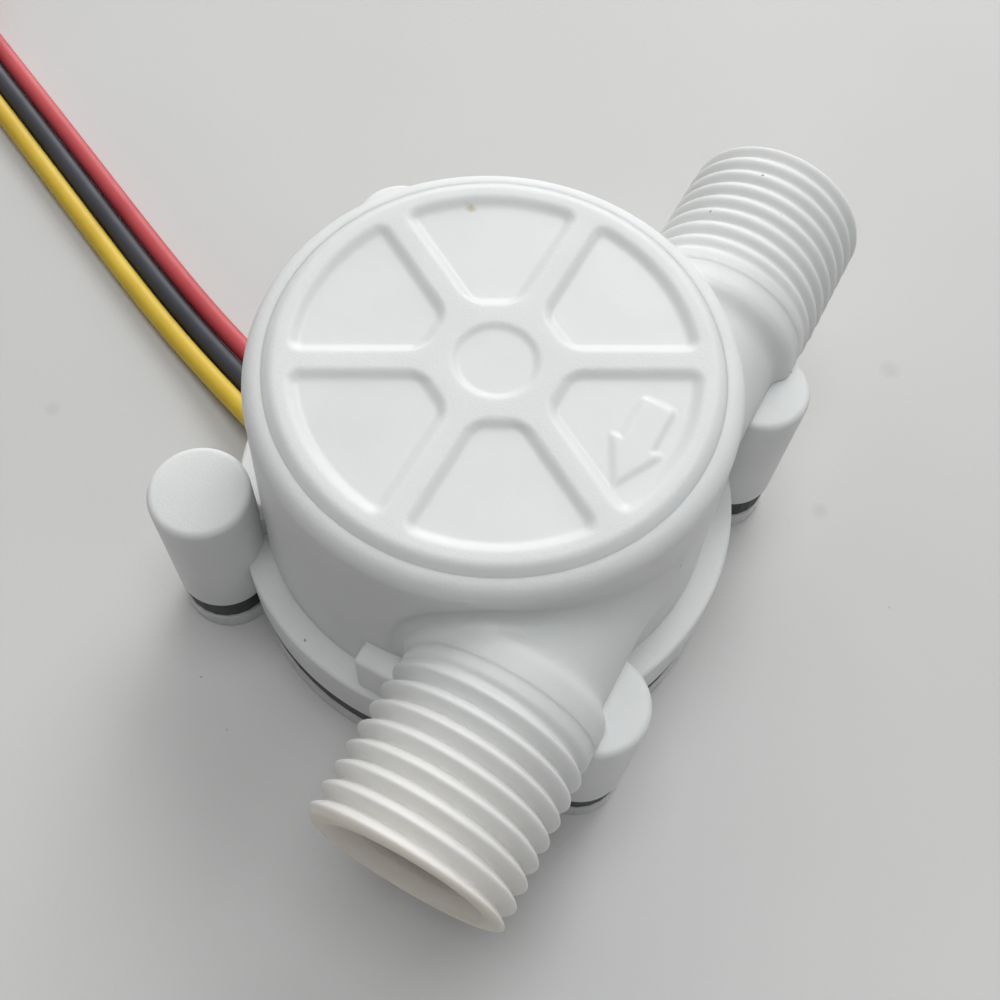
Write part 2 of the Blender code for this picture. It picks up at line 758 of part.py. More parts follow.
def make_shaft():
    low = BASE_THICKNESS + BASE_BOSS_HEIGHT - SHAFT_SOCKET_DEPTH + SEAT_GAP
    high = CEILING + CEILING_SOCKET_DEPTH - SEAT_GAP
    tip = SHAFT_RADIUS * 0.3
    profile = [
        (0, low),
        (SHAFT_RADIUS - tip, low),
        (SHAFT_RADIUS, low + tip),
        (SHAFT_RADIUS, high - tip),
        (SHAFT_RADIUS - tip, high),
        (0, high),
    ]
    return finished(solid(lathe(profile, SMALL_SEGMENTS)), "rotor_shaft", steel())


def make_rotor_group():
    body = bpy.data.objects.new("rotor_axis", None)
    bpy.context.collection.objects.link(body)
    low, high = rotor_heights()
    make_rotor(body)
    for index in range(MAGNET_COUNT):
        make_magnet(index, body)
    make_bush("lower_bush", low + SEAT_GAP, body)
    make_bush("upper_bush", high - SEAT_GAP - BUSH_LENGTH, body)
    make_shaft()
    make_washer("lower_thrust_washer", low - AXIAL_GAP - WASHER_THICKNESS)
    make_washer("upper_thrust_washer", high + AXIAL_GAP)


def make_sensor_board():
    """Board that stands in the flange pocket, with the Hall chip towards the rotor."""
    outside = -BOARD_POCKET_OUTSIDE + ROUND_GAP
    inside = outside + BOARD_THICKNESS
    half = BOARD_POCKET_WIDTH / 2 - ROUND_GAP
    low = HOUSING_BOTTOM - BOARD_HANG
    high = HOUSING_BOTTOM + BOARD_POCKET_HEIGHT - ROUND_GAP
    board = solid(box((outside, -half, low), (inside, half, high)))
    finished(board, "sensor_board", material("board_green", (0.03, 0.22, 0.10), 0.5))
    seat = inside + SEAT_GAP
    chip_low = low + CHIP_LIFT
    chip = solid(
        box(
            (seat, -CHIP_WIDTH / 2, chip_low),
            (seat + CHIP_THICKNESS, CHIP_WIDTH / 2, chip_low + CHIP_HEIGHT),
        )
    )
    finished(chip, "hall_chip", material("chip_black", (0.03, 0.03, 0.03), 0.45))
    for name, side in (("pull_up_resistor", -1), ("filter_capacitor", 1)):
        centre = side * (CHIP_WIDTH / 2 + SMALL_PART_GAP + SMALL_PART_WIDTH / 2)
        small = solid(
            box(
                (seat, centre - SMALL_PART_WIDTH / 2, chip_low),
                (
                    seat + SMALL_PART_THICKNESS,
                    centre + SMALL_PART_WIDTH / 2,
                    chip_low + SMALL_PART_HEIGHT,
                ),
            )
        )
        finished(small, name, material("ceramic", (0.45, 0.36, 0.26), 0.5))


# Middle line of the lead from the board to its coil, and from the coil to the plug
LEAD_ROUTE = [
    (WIRE_START, 0.0000, LEAD_HEIGHT),
    (-0.0180, 0.0000, LEAD_HEIGHT),
    (-0.0202, 0.0006, 0.0024),
    (-0.0232, 0.0018, 0.0016),
    (-0.0278, 0.0036, 0.0011),
    (-0.0332, 0.0056, LYING_HEIGHT),
    (-0.0424, 0.0098, LYING_HEIGHT),
    (-0.0519, 0.0142, LYING_HEIGHT),
    (-0.0620, 0.0187, LYING_HEIGHT),
    (-0.0695, 0.0221, LYING_HEIGHT),
    (-0.0735, 0.0239, LYING_HEIGHT),
]
TAIL_ROUTE = [
    (-0.0832, 0.0311, 0.0014),
    (-0.0873, 0.0304, 0.0019),
    (-0.0915, 0.0297, 0.0025),
    (-0.0956, 0.0289, PLUG_THICKNESS / 2),
    (-0.0975, 0.0285, PLUG_THICKNESS / 2),
]


def smooth_route(points):
    """Close points along a smooth curve through the given ones."""
    dense = []
    ends = [points[0], *points, points[-1]]
    for k in range(1, len(ends) - 2):
        a, b, c, d = (Vector(ends[k + shift]) for shift in (-1, 0, 1, 2))
        for step in range(40):
            t = step / 40
            bend = (2 * a - 5 * b + 4 * c - d) * t**2 + (3 * b - a - 3 * c + d) * t**3
            dense.append((2 * b + (c - a) * t + bend) / 2)
    dense.append(Vector(points[-1]))
    return dense


def beside(points, offsets):
    """The same line moved sideways on the level, by an offset for each point."""
    moved = []
    for k, (point, offset) in enumerate(zip(points, offsets)):
        before, after = points[max(k - 1, 0)], points[min(k + 1, len(points) - 1)]
        along = (after - before).to_2d().normalized()
        moved.append(point + Vector((along.y, -along.x, 0)) * offset)
    return moved


def spaced(points, spacing):
    """Few points out of many, at about the given spacing, with both ends kept."""
    kept, travelled = [points[0]], 0.0
    for before, after in zip(points, points[1:]):
        travelled += (after - before).length
        if travelled >= spacing:
            kept.append(after)
            travelled = 0.0
    if travelled < spacing / 2 and len(kept) > 2:
        kept.pop()
    kept.append(points[-1])
    return kept


def clear_of_coil(points):
    limit = COIL_OUTSIDE + ROUND_GAP + WIRE_DIAMETER / 2
    return [point for point in points if (point.to_2d() - COIL_CENTRE).length > limit]


WIRE_SHADES = {
    "red": (0.55, 0.06, 0.07),
    "black": (0.02, 0.02, 0.03),
    "yellow": (0.66, 0.42, 0.05),
}


def make_tube(name, colour, points):
    """Plain tube along one wire."""
    points = spaced(clear_of_coil(points), WIRE_POINT_SPACING)
    curve = bpy.data.curves.new(name, "CURVE")
    curve.dimensions = "3D"
    curve.bevel_depth = WIRE_DIAMETER / 2
    curve.bevel_resolution = 2
    curve.use_fill_caps = True
    spline = curve.splines.new("POLY")
    spline.points.add(len(points) - 1)
    for slot, point in zip(spline.points, points):
        slot.co = (*point, 1.0)
    obj = bpy.data.objects.new(name, curve)
    bpy.context.collection.objects.link(obj)
    curve.materials.append(material(f"wire_{colour}", WIRE_SHADES[colour], 0.4))
    return obj


def make_wires():
    """Three wires side by side up to the coil, and their ends from the coil to the plug."""
    lead, tail = smooth_route(LEAD_ROUTE), smooth_route(TAIL_ROUTE)
    for colour, place in WIRES.items():
        offsets = [place * WIRE_PITCH] * len(lead)
        make_tube(f"wire_{colour}", colour, beside(lead, offsets))
        spread = (k / (len(tail) - 1) for k in range(len(tail)))
        offsets = [place * (WIRE_PITCH + (PLUG_PITCH - WIRE_PITCH) * t) for t in spread]
        make_tube(f"wire_end_{colour}", colour, beside(tail, offsets))


def make_lead_coil():
    """Outer shape of the coil that the rest of the lead is wound into."""
    low, high = COIL_LIFT, COIL_LIFT + BUNDLE_HEIGHT
    soft = BUNDLE_HEIGHT * 0.25
    profile = [
        (COIL_INSIDE, low + soft),
        (COIL_INSIDE + soft, low),
        (COIL_OUTSIDE - soft, low),
        (COIL_OUTSIDE, low + soft),
        (COIL_OUTSIDE, high - soft),
        (COIL_OUTSIDE - soft, high),
        (COIL_INSIDE + soft, high),
        (COIL_INSIDE, high - soft),
    ]
    ring = solid(lathe(profile, 48))
    ring.data.transform(Matrix.Translation((*COIL_CENTRE, 0)))
    return finished(ring, "lead_coil", material("wire_black", WIRE_SHADES["black"], 0.4))


def make_coil_tie():
    """Flat band round the turns, with a small head on top."""
    inner = COIL_INSIDE - SEAT_GAP
    outer = COIL_OUTSIDE + SEAT_GAP
    low, high = COIL_LIFT - SEAT_GAP, COIL_LIFT + BUNDLE_HEIGHT + SEAT_GAP
    half, wall = TIE_WIDTH / 2, TIE_THICKNESS
    band = solid(box((inner - wall, -half, low - wall), (outer + wall, half, high + wall)))
    head_start = (inner + outer - TIE_HEAD) / 2
    head = solid(
        box(
            (head_start, -half - wall, high + wall / 2),
            (head_start + TIE_HEAD, half + wall, high + 5 * wall),
        )
    )
    boolean(band, [head], "UNION")
    room = solid(box((inner, -TIE_WIDTH, low), (outer, TIE_WIDTH, high)))
    boolean(band, [room], "DIFFERENCE")
    turn = Matrix.Translation((*COIL_CENTRE, 0)) @ Matrix.Rotation(TIE_ANGLE, 4, "Z")
    band.data.transform(turn)
    return finished(band, "coil_tie", material("tie_white", (0.75, 0.75, 0.74), 0.4))


def plug_frame():
    """Place of the plug, which lies beside the coil with its wire side towards it."""
    turn = Matrix.Rotation(PLUG_ANGLE, 4, "Z")
    return Matrix.Translation((*PLUG_CENTRE, PLUG_THICKNESS / 2)) @ turn


def make_plug():
    """Three-way socket housing and its crimp terminals. It points along local +Y."""
    half_x, half_y, half_z = PLUG_WIDTH / 2, PLUG_LENGTH / 2, PLUG_THICKNESS / 2
    plug = solid(box((-half_x, -half_y, -half_z), (half_x, half_y, half_z)))
    for side in (-1, 1):
        centre = side * half_x * 0.6
        key = solid(
            box(
                (centre - PLUG_KEY_WIDTH / 2, -half_y * 0.4, half_z - PLUG_KEY_HEIGHT),
                (centre + PLUG_KEY_WIDTH / 2, half_y, half_z + PLUG_KEY_HEIGHT),
            )
        )
        boolean(plug, [key], "UNION")
    wide, tall = PLUG_CAVITY_WIDTH / 2, PLUG_CAVITY_HEIGHT / 2
    for place in WIRES.values():
        x = place * PLUG_PITCH
        cavity = solid(
            box((x - wide, -half_y - SEAT_GAP, -tall), (x + wide, half_y + SEAT_GAP, tall))
        )
        boolean(plug, [cavity], "DIFFERENCE")
    housing = finished(plug, "plug_housing", material("plug_white", (0.82, 0.80, 0.74), 0.4))
    housing.matrix_world = plug_frame()
    for colour, place in WIRES.items():
        make_terminal(colour, place)
    return housing


def make_terminal(colour, place):
    """Folded sleeve of one crimp terminal, inside its cavity."""
    x, wide, tall = place * PLUG_PITCH, TERMINAL_WIDTH / 2, TERMINAL_HEIGHT / 2
    low, high = -TERMINAL_LENGTH / 2, TERMINAL_LENGTH / 2
    sleeve = solid(box((x - wide, low, -tall), (x + wide, high, tall)))
    room = solid(
        box(
            (x - wide + TERMINAL_SHEET, low + TERMINAL_LENGTH / 3, -tall + TERMINAL_SHEET),
            (x + wide - TERMINAL_SHEET, high + SEAT_GAP, tall - TERMINAL_SHEET),
        )
    )
    boolean(sleeve, [room], "DIFFERENCE")
    made = finished(
        sleeve, f"terminal_{colour}", material("tinned_brass", (0.66, 0.64, 0.58), 0.3, 1.0)
    )
    made.matrix_world = plug_frame()
    return made


def main():
    clear_scene()
    make_housing()
    make_base_plate()
    make_gasket()
    for index, centre in enumerate(BOSS_CENTRES, start=1):
        make_screw(index, centre)
    make_rotor_group()
    make_sensor_board()
    make_wires()
    make_lead_coil()
    make_coil_tie()
    make_plug()


main()
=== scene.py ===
"""Studio scene of a turbine water flow sensor, in the part's own frame.

Metres, +Z up. X runs from the chamber towards the pipe and Y runs along the pipe.
"""

import json
import math

import bmesh
import bpy
import numpy as np
from mathutils import Matrix, Vector


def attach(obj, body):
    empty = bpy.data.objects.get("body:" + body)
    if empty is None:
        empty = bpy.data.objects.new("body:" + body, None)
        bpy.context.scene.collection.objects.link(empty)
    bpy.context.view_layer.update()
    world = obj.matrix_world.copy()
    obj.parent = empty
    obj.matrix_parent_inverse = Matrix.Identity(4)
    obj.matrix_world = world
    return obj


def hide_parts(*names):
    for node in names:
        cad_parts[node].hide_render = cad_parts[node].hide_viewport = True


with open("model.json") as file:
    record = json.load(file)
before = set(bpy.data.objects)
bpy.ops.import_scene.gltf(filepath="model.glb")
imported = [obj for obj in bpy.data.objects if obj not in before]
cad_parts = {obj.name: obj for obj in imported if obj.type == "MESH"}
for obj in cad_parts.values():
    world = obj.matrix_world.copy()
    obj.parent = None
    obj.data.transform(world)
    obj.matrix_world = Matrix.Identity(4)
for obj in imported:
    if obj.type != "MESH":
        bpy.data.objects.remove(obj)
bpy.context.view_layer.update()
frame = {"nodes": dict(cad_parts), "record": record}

MM = 0.001

# Camera of the photograph
CAMERA_PLACE = (17.217 * MM, -37.200 * MM, 86.962 * MM)
CAMERA_TURN = (26.8321, -2.5888, 28.4367)
CAMERA_LENS = 43.894
CAMERA_SENSOR = 36
CAMERA_NEAREST = 0.005

# Lengths of the housing, as in the part
HOUSING_BOTTOM = 4.0 * MM
HOUSING_TOP = 25.0 * MM
CHAMBER_RADIUS = 13.4 * MM
CEILING = 22.0 * MM
WALL_TOP_RADIUS = 15.5 * MM
WALL_BASE_RADIUS = 16.0 * MM
SHOULDER_ROUND = 1.3 * MM
CREASE_RADIUS = 14.2 * MM
CREASE_HEIGHT = 24.55 * MM
FLANGE_RADIUS = 17.9 * MM
FLANGE_TOP = 8.6 * MM
FLANGE_ROUND = 0.3 * MM
FOOT_ROUND = 0.08 * MM
SPIGOT_RADIUS = 2.2 * MM
SPIGOT_END = 20.6 * MM
SHAFT_HOLE_RADIUS = 1.08 * MM
SHAFT_HOLE_TOP = 23.2 * MM
COVER_SKIRT_DEPTH = 0.8 * MM
COVER_SKIRT_INSET = 0.2 * MM

# Relief of the cover
RIM_ROUND = 0.95 * MM
RIM_SWEEP = math.radians(165)
RIM_POWER = 1.3
POCKET_RADIUS = 12.85 * MM
POCKET_DEPTH = 0.38 * MM
POCKET_SLOPE = 0.88 * MM
POCKET_CORNER = 1.1 * MM
RIB_WIDTH = 1.0 * MM
HUB_FLAT = 3.95 * MM
HUB_RECESS_RADIUS = 2.85 * MM
HUB_RECESS_DEPTH = 0.22 * MM
HUB_RECESS_SLOPE = 0.6 * MM
ARROW_X = 9.93 * MM
ARROW_TAIL = 2.35 * MM
ARROW_NECK = -0.85 * MM
ARROW_TIP = -4.0 * MM
ARROW_SHAFT_WIDTH = 2.1 * MM
ARROW_HEAD_WIDTH = 3.35 * MM
ARROW_CORNER = 0.35 * MM
ARROW_HEIGHT = 0.17 * MM
ARROW_SLOPE = 0.5 * MM

# Pipe
PIPE_OFFSET = 9.35 * MM
PIPE_AXIS_HEIGHT = 15.6 * MM
PIPE_END = 27.5 * MM
BORE_RADIUS = 4.25 * MM
NECK_RADIUS = 5.25 * MM
NECK_SKIN_RADIUS = 5.6 * MM
COLLAR_RADIUS = 6.45 * MM
COLLAR_SHOULDER = 14.2 * MM
COLLAR_END = 17.3 * MM
THREAD_RADIUS = 6.58 * MM
THREAD_DEPTH = 0.75 * MM
REAR_THREAD_DEPTH = 0.36 * MM
THREAD_FULLNESS = 0.75
THREAD_PITCH = 1.337 * MM
THREAD_SHIFT = 0.10 * MM
THREAD_RUN_IN = 1.5 * MM
THREAD_START = 14.9 * MM
THREAD_LIFT = (-0.006 * MM, 0.014 * MM, 2.0 * MM)
LIP_RADIUS = 6.25 * MM
LIP_LENGTH = 0.5 * MM
LIP_ROUND = 0.28 * MM
LEDGE_DEPTH = 0.3 * MM
FIRST_ROW_GAP = 0.02 * MM
LAST_ROW_GAP = 0.001 * MM

# Soft funnel at both ends of the bore: widening and depth in mm
BORE_MOUTH = [(1.25, 0), (0.98, 0.04), (0.74, 0.2), (0.55, 0.5), (0.36, 1.1), (0.16, 2.0), (0, 3.5)]

# Support blocks, bosses and screw holes
BLOCK_LEFT = -0.35 * MM
BLOCK_RIGHT = 14.2 * MM
BLOCK_REACH = 17.4 * MM
BLOCK_TOP = 13.1 * MM
BLOCK_FOOT_GAP = 0.01 * MM
BLOCK_HIDDEN_LEFT = 10 * MM
BLOCK_HIDDEN_CORNER = (8 * MM, 7.2 * MM)
BOSS_RADIUS = 3.4 * MM
BOSS_ROUND = 0.5 * MM
BOSS_X = 14.57 * MM
BOSS_Y = 13.05 * MM
BOSS_WEB = 1.2 * MM
WEB_TOP = 11.0 * MM
BLOCK_ROUND = 0.3 * MM
BLOCK_ROUND_FROM = 10 * MM
SCREW_HOLE_RADIUS = 1.25 * MM
SCREW_HOLE_TOP = 11.6 * MM
BOARD_POCKET = ((-16.9, -3.2, 3.0), (-14.4, 3.2, 7.8))

# Core of the pipe, under its skin and inside its thread, and the cut for the bore
CORE_INSET = 0.05 * MM
CORE_OVERLAP = 0.4 * MM
CORE_BORE_MARGIN = 0.3 * MM
CORE_END_GAP = MM
BORE_CUT_START = 8 * MM
BORE_CUT_GAP = 0.05 * MM

# Lead, laid as in the part. The bundle starts and closes at shares of the coil.
WIRE_DIAMETER = 1.7 * MM
WIRE_PITCH = 1.8 * MM
LYING_HEIGHT = 0.9 * MM
EXIT_HEIGHT = 2.8 * MM
COIL_CENTRE = Vector((-80.63 * MM, 18.83 * MM))
COIL_START_RADIUS = 7.6 * MM
COIL_START_ANGLE = math.radians(65.7)
COIL_TURNS = 1.1
COIL_PITCH = 4.5 * MM
COIL_HEIGHT = 1.4 * MM
COIL_STEPS_PER_TURN = 24
COIL_RISE_RATE = 20
BUNDLE_FROM = 0.14
BUNDLE_TO = 0.30
BUNDLE_HALF = 0.9 * MM
HUMP_HEIGHT = 1.45 * MM
HUMP_ANGLE = math.radians(378.9)
HUMP_SPREAD = math.radians(75)
PLUG_HEIGHT = 2.9 * MM
PLUG_PITCH = 2.5 * MM
ROUTE_STEPS = 8
EASING_ROUNDS = 60

LEAD_ROUTE = [
    (-0.0158, 0.0000, EXIT_HEIGHT),
    (-0.0180, 0.0000, EXIT_HEIGHT),
    (-0.0202, 0.0006, 0.0024),
    (-0.0232, 0.0018, 0.0016),
    (-0.0278, 0.0036, 0.0011),
    (-0.0332, 0.0056, LYING_HEIGHT),
    (-0.0424, 0.0098, LYING_HEIGHT),
    (-0.0519, 0.0142, LYING_HEIGHT),
    (-0.0620, 0.0187, LYING_HEIGHT),
    (-0.0695, 0.0221, LYING_HEIGHT),
    (-0.0735, 0.0239, LYING_HEIGHT),
]
TAIL_ROUTE = [
    (-0.0873, 0.0304, 0.0019),
    (-0.0915, 0.0297, 0.0025),
    (-0.0956, 0.0289, PLUG_HEIGHT),
    (-0.0975, 0.0285, PLUG_HEIGHT),
]
WIRES = {"red": 1, "black": 0, "yellow": -1}

# Blend between neck, collar and wall
SKIN_STEP = 0.17 * MM
SKIN_ROUNDS = 6
SLOPE_REACH = 0.01 * MM
COLLAR_ROUND = 0.65 * MM
NECK_BLEND = 1.3 * MM
NECK_BLEND_REST = 1.02
WALL_BLEND = 1.2 * MM
ROOT_START = 3.4 * MM
ROOT_END = 16.5 * MM
ROOT_GAP = 0.3 * MM
ROOT_BORDER = 0.5 * MM
ROOT_PROUD = 0.006 * MM
ROOT_SINK = 0.03 * MM

# Corners of the grid for that blend, placed so that the skin closes without doubled edges
ROOT_GRID_LOW = (1.03 * MM, 3.02 * MM, FLANGE_TOP - 0.23 * MM)
ROOT_GRID_HIGH = (18.0 * MM, ROOT_END + 3 * SKIN_STEP, CREASE_HEIGHT)

# Fineness of the turned shapes, and the angles over which an edge stays sharp
WALL_SEGMENTS = 288
PIPE_SEGMENTS = 160
BORE_SEGMENTS = 128
BOSS_SEGMENTS = 96
HOLE_SEGMENTS = 48
COVER_SEGMENTS = 600
COVER_RINGS = 112
COVER_MIDDLE = 0.12 * MM
THREAD_SEGMENTS = 160
THREAD_ROWS = 200
BODY_SHARP = 32
SKIN_SHARP = 50
THREAD_SHARP = 55

# Noise in the plastic: waves per metre and heights
TONE_WAVES = 180
HOUSING_TONE_WAVES = 160
GLOSS_WAVES = 700
SLOW_WAVES = 260
SLOW_WAVE_HEIGHT = 0.04 * MM
GRAIN_WAVES = 7000
GRAIN_HEIGHT = 0.012 * MM
CRYSTAL_WAVES = 5200
CRYSTAL_HEIGHT = 0.028 * MM
RAGGED_WAVES = 5000
RAGGED_REACH = 0.3

# Gloss of the housing, its frosted tops and the light inside it
WALL_ROUGHNESS = 0.36
FROST_ROUGHNESS = 0.5
ROUGHNESS_SPREAD = 0.1
FROST_UPWARD = (0.55, 0.9)
FROST_DEPTHS = (0.2 * MM, 0.05 * MM)
HOUSING_GLOW = 0.6
HOUSING_GLOW_COLOUR = (1.0, 0.96, 0.92)
HOUSING_GLOW_DEPTH = 1.1 * MM
PLASTIC_GLOW_COLOUR = (1.0, 0.95, 0.9)
PLASTIC_GLOW_DEPTH = 0.9 * MM

# Specks of dirt: place in mm, reach in mm and tone
HOUSING_SPECKS = [
    ((-7.1, 9.7, 24.5), 0.42, (0.60, 0.55, 0.38)),
    ((-7.6, 9.9, 24.5), 0.36, (0.66, 0.62, 0.48)),
    ((-9.2, 9.4, 24.6), 0.22, (0.64, 0.60, 0.48)),
    ((6.9, 10.6, 24.7), 0.13, (0.16, 0.15, 0.13)),
    ((5.0, 11.2, 24.6), 0.12, (0.30, 0.28, 0.24)),
    ((-11.0, 2.8, 24.5), 0.11, (0.42, 0.40, 0.36)),
    ((3.4, -3.8, 25.0), 0.12, (0.42, 0.40, 0.36)),
    ((-5.0, -16.5, 8.6), 0.12, (0.16, 0.15, 0.13)),
    ((15.8, 15.1, 15.6), 0.11, (0.20, 0.15, 0.12)),
    ((8.0, 24.6, 22.0), 0.12, (0.16, 0.15, 0.13)),
    ((6.0, 20.5, 21.2), 0.13, (0.16, 0.15, 0.13)),
    ((10.5, 22.0, 22.0), 0.11, (0.30, 0.27, 0.22)),
]
FLOOR_SPECKS = [
    ((-12.5, -20.4, 0), 0.13, (0.30, 0.29, 0.28)),
    ((-8.6, -22.8, 0), 0.11, (0.32, 0.31, 0.30)),
    ((22.9, 31.1, 0), 1.1, (0.57, 0.563, 0.55)),
    ((22.6, 15.4, 0), 0.9, (0.56, 0.553, 0.54)),
    ((30.5, 10.2, 0), 0.14, (0.42, 0.41, 0.40)),
    ((-36.0, -7.4, 0), 0.8, (0.58, 0.573, 0.565)),
]

# Painted light in the bore, for light that comes through its thin wall, and painted warm shade along the
# outlet, strongest on its end face: start and end in mm, amount and tone
BORE_PAINTED_LIGHT = (1.0, 0.92, 0.83)
BORE_PAINTED_LIGHT_MARGIN = 0.3 * MM
PAINTED_WARM_SHADE = [(-17, -27, 0.6, (0.85, 0.82, 0.78)), (-26.9, -27.5, 0.9, (0.97, 0.87, 0.75))]

# Floor and room
FLOOR_HALF = 0.9
FLOOR_DROP = 0.02 * MM
ROOM_COLOUR = (0.95, 0.97, 1.0)
ROOM_LIGHT = 0.04
ROOM_SEEN = 0.6

# Lamps, each with its direction, power in watts and colour
LAMP_SIZE = 0.7
LAMP_DISTANCE = 1.2
LAMPS = {
    "ceiling": ((0, 0, 1), 5.2, (0.985, 1.0, 1.005)),
    "window": ((0, 1, 1), 5.2, (0.99, 1.0, 1.0)),
    "far_wall": ((-0.4, 1, 0.4), 5.3, (1.0, 0.995, 0.985)),
    "right_wall": ((1, 0, 1), 1.2, (1.0, 1.0, 1.0)),
    "left_rear": ((-1, 1, 1), 0.7, (1.0, 1.0, 1.0)),
    "left_wall": ((-1, 0, 1), 0.8, (1.0, 0.97, 0.93)),
}


# Materials


def shader_of(name):
    made = bpy.data.materials.new(name)
    made.use_nodes = True
    return made, made.node_tree, made.node_tree.nodes["Principled BSDF"]


def noise(tree, scale, detail=4.0, roughness=0.5, stretch=None):
    """Noise in the object's own coordinates. Scale is in waves per metre."""
    place = place_of(tree)
    texture = tree.nodes.new("ShaderNodeTexNoise")
    texture.inputs["Scale"].default_value = scale
    texture.inputs["Detail"].default_value = detail
    texture.inputs["Roughness"].default_value = roughness
    if stretch:
        mapping = tree.nodes.new("ShaderNodeMapping")
        mapping.inputs["Scale"].default_value = stretch
        tree.links.new(place, mapping.inputs["Vector"])
        place = mapping.outputs["Vector"]
    tree.links.new(place, texture.inputs["Vector"])
    return texture.outputs["Fac"]


def tones(tree, factor, dark, light, low=0.3, high=0.7):
    ramp = tree.nodes.new("ShaderNodeValToRGB")
    ramp.color_ramp.elements[0].position = low
    ramp.color_ramp.elements[0].color = (*dark, 1)
    ramp.color_ramp.elements[1].position = high
    ramp.color_ramp.elements[1].color = (*light, 1)
    tree.links.new(factor, ramp.inputs["Fac"])
    return ramp.outputs["Color"]


def spread(tree, factor, low, high):
    """Maps a factor from 0 and 1 to low and high."""
    return share(tree, factor, 0, 1, low, high)


def share(tree, value, start, end, low=0, high=1):
    """Maps a value from start and end to low and high, and stops there."""
    mapped = tree.nodes.new("ShaderNodeMapRange")
    mapped.inputs["From Min"].default_value = start
    mapped.inputs["From Max"].default_value = end
    mapped.inputs["To Min"].default_value = low
    mapped.inputs["To Max"].default_value = high
    tree.links.new(value, mapped.inputs["Value"])
    return mapped.outputs["Result"]


def laid_over(tree, colour, amount, tone):
    """Mixes one tone into a colour by an amount that varies."""
    mixed = tree.nodes.new("ShaderNodeMix")
    mixed.data_type = "RGBA"
    tree.links.new(amount, mixed.inputs["Factor"])
    tree.links.new(colour, mixed.inputs["A"])
    mixed.inputs["B"].default_value = (*tone, 1)
    return mixed.outputs["Result"]


def place_of(tree):
    """Place in the object's own coordinates."""
    return tree.nodes.new("ShaderNodeTexCoord").outputs["Object"]


def parts_of(tree, vector):
    """X, Y and Z of a vector."""
    parts = tree.nodes.new("ShaderNodeSeparateXYZ")
    tree.links.new(vector, parts.inputs[0])
    return parts.outputs


def maths(tree, operation, *values):
    """One step of arithmetic on outputs of nodes or plain numbers."""
    node = tree.nodes.new("ShaderNodeMath")
    node.operation = operation
    for slot, value in zip(node.inputs, values):
        if isinstance(value, bpy.types.NodeSocket):
            tree.links.new(value, slot)
        else:
            slot.default_value = value
    return node.outputs["Value"]


def distance_to(tree, vector, centre):
    distance = tree.nodes.new("ShaderNodeVectorMath")
    distance.operation = "DISTANCE"
    distance.inputs[1].default_value = centre
    tree.links.new(vector, distance.inputs[0])
    return distance.outputs["Value"]


def bump(tree, shader, height, strength, distance, under=None):
    node = tree.nodes.new("ShaderNodeBump")
    node.inputs["Strength"].default_value = strength
    node.inputs["Distance"].default_value = distance
    tree.links.new(height, node.inputs["Height"])
    if under:
        tree.links.new(under, node.inputs["Normal"])
    tree.links.new(node.outputs["Normal"], shader.inputs["Normal"])
    return node.outputs["Normal"]


def grained(tree, shader, grain, grain_height):
    """Slow waves under a fine grain, as in moulded plastic."""
    waves = bump(tree, shader, noise(tree, SLOW_WAVES, 2), 0.25, SLOW_WAVE_HEIGHT)
    return bump(tree, shader, noise(tree, grain, 5, 0.6), 0.6, grain_height, waves)


def lit_inside(shader, amount, colour, depth):
    """Light that spreads under the surface."""
    shader.inputs["Subsurface Weight"].default_value = amount
    shader.inputs["Subsurface Radius"].default_value = colour
    shader.inputs["Subsurface Scale"].default_value = depth


def plastic(name, dark, light, roughness, grain, grain_height, glow=0.0):
    """Moulded plastic with a fine grain, slow changes of tone and a little light inside."""
    made, tree, shader = shader_of(name)
    colour = tones(tree, noise(tree, TONE_WAVES, 3), dark, light)
    tree.links.new(colour, shader.inputs["Base Color"])
    low, high = roughness
    tree.links.new(spread(tree, noise(tree, GLOSS_WAVES), low, high), shader.inputs["Roughness"])
    grained(tree, shader, grain, grain_height)
    if glow:
        lit_inside(shader, glow, PLASTIC_GLOW_COLOUR, PLASTIC_GLOW_DEPTH)
    return made


def spots(tree, colour, marks):
    """Lays small specks over a colour, each with its place, reach and tone."""
    place = place_of(tree)
    ragged = tree.nodes.new("ShaderNodeTexNoise")
    ragged.inputs["Scale"].default_value = RAGGED_WAVES
    tree.links.new(place, ragged.inputs["Vector"])
    shift = tree.nodes.new("ShaderNodeVectorMath")
    shift.operation = "MULTIPLY_ADD"
    shift.inputs[1].default_value = [RAGGED_REACH * MM] * 3
    tree.links.new(ragged.outputs["Color"], shift.inputs[0])
    tree.links.new(place, shift.inputs[2])
    for centre, reach, tone in marks:
        shifted = [(value + RAGGED_REACH / 2) * MM for value in centre]
        distance = distance_to(tree, shift.outputs["Vector"], shifted)
        colour = laid_over(tree, colour, share(tree, distance, reach * MM, reach * MM / 3), tone)
    return colour


def frost_mask(tree):
    """1 on flat tops that face up, except in the cover's pockets and hub, and 0 elsewhere."""
    normal = tree.nodes.new("ShaderNodeNewGeometry").outputs["Normal"]
    upward = share(tree, parts_of(tree, normal)["Z"], *FROST_UPWARD)
    height = parts_of(tree, place_of(tree))["Z"]
    low, high = FROST_DEPTHS
    above = share(tree, height, HOUSING_TOP - low, HOUSING_TOP - high)
    below = maths(tree, "LESS_THAN", height, CREASE_HEIGHT)
    return maths(tree, "MULTIPLY", upward, maths(tree, "MAXIMUM", above, below))


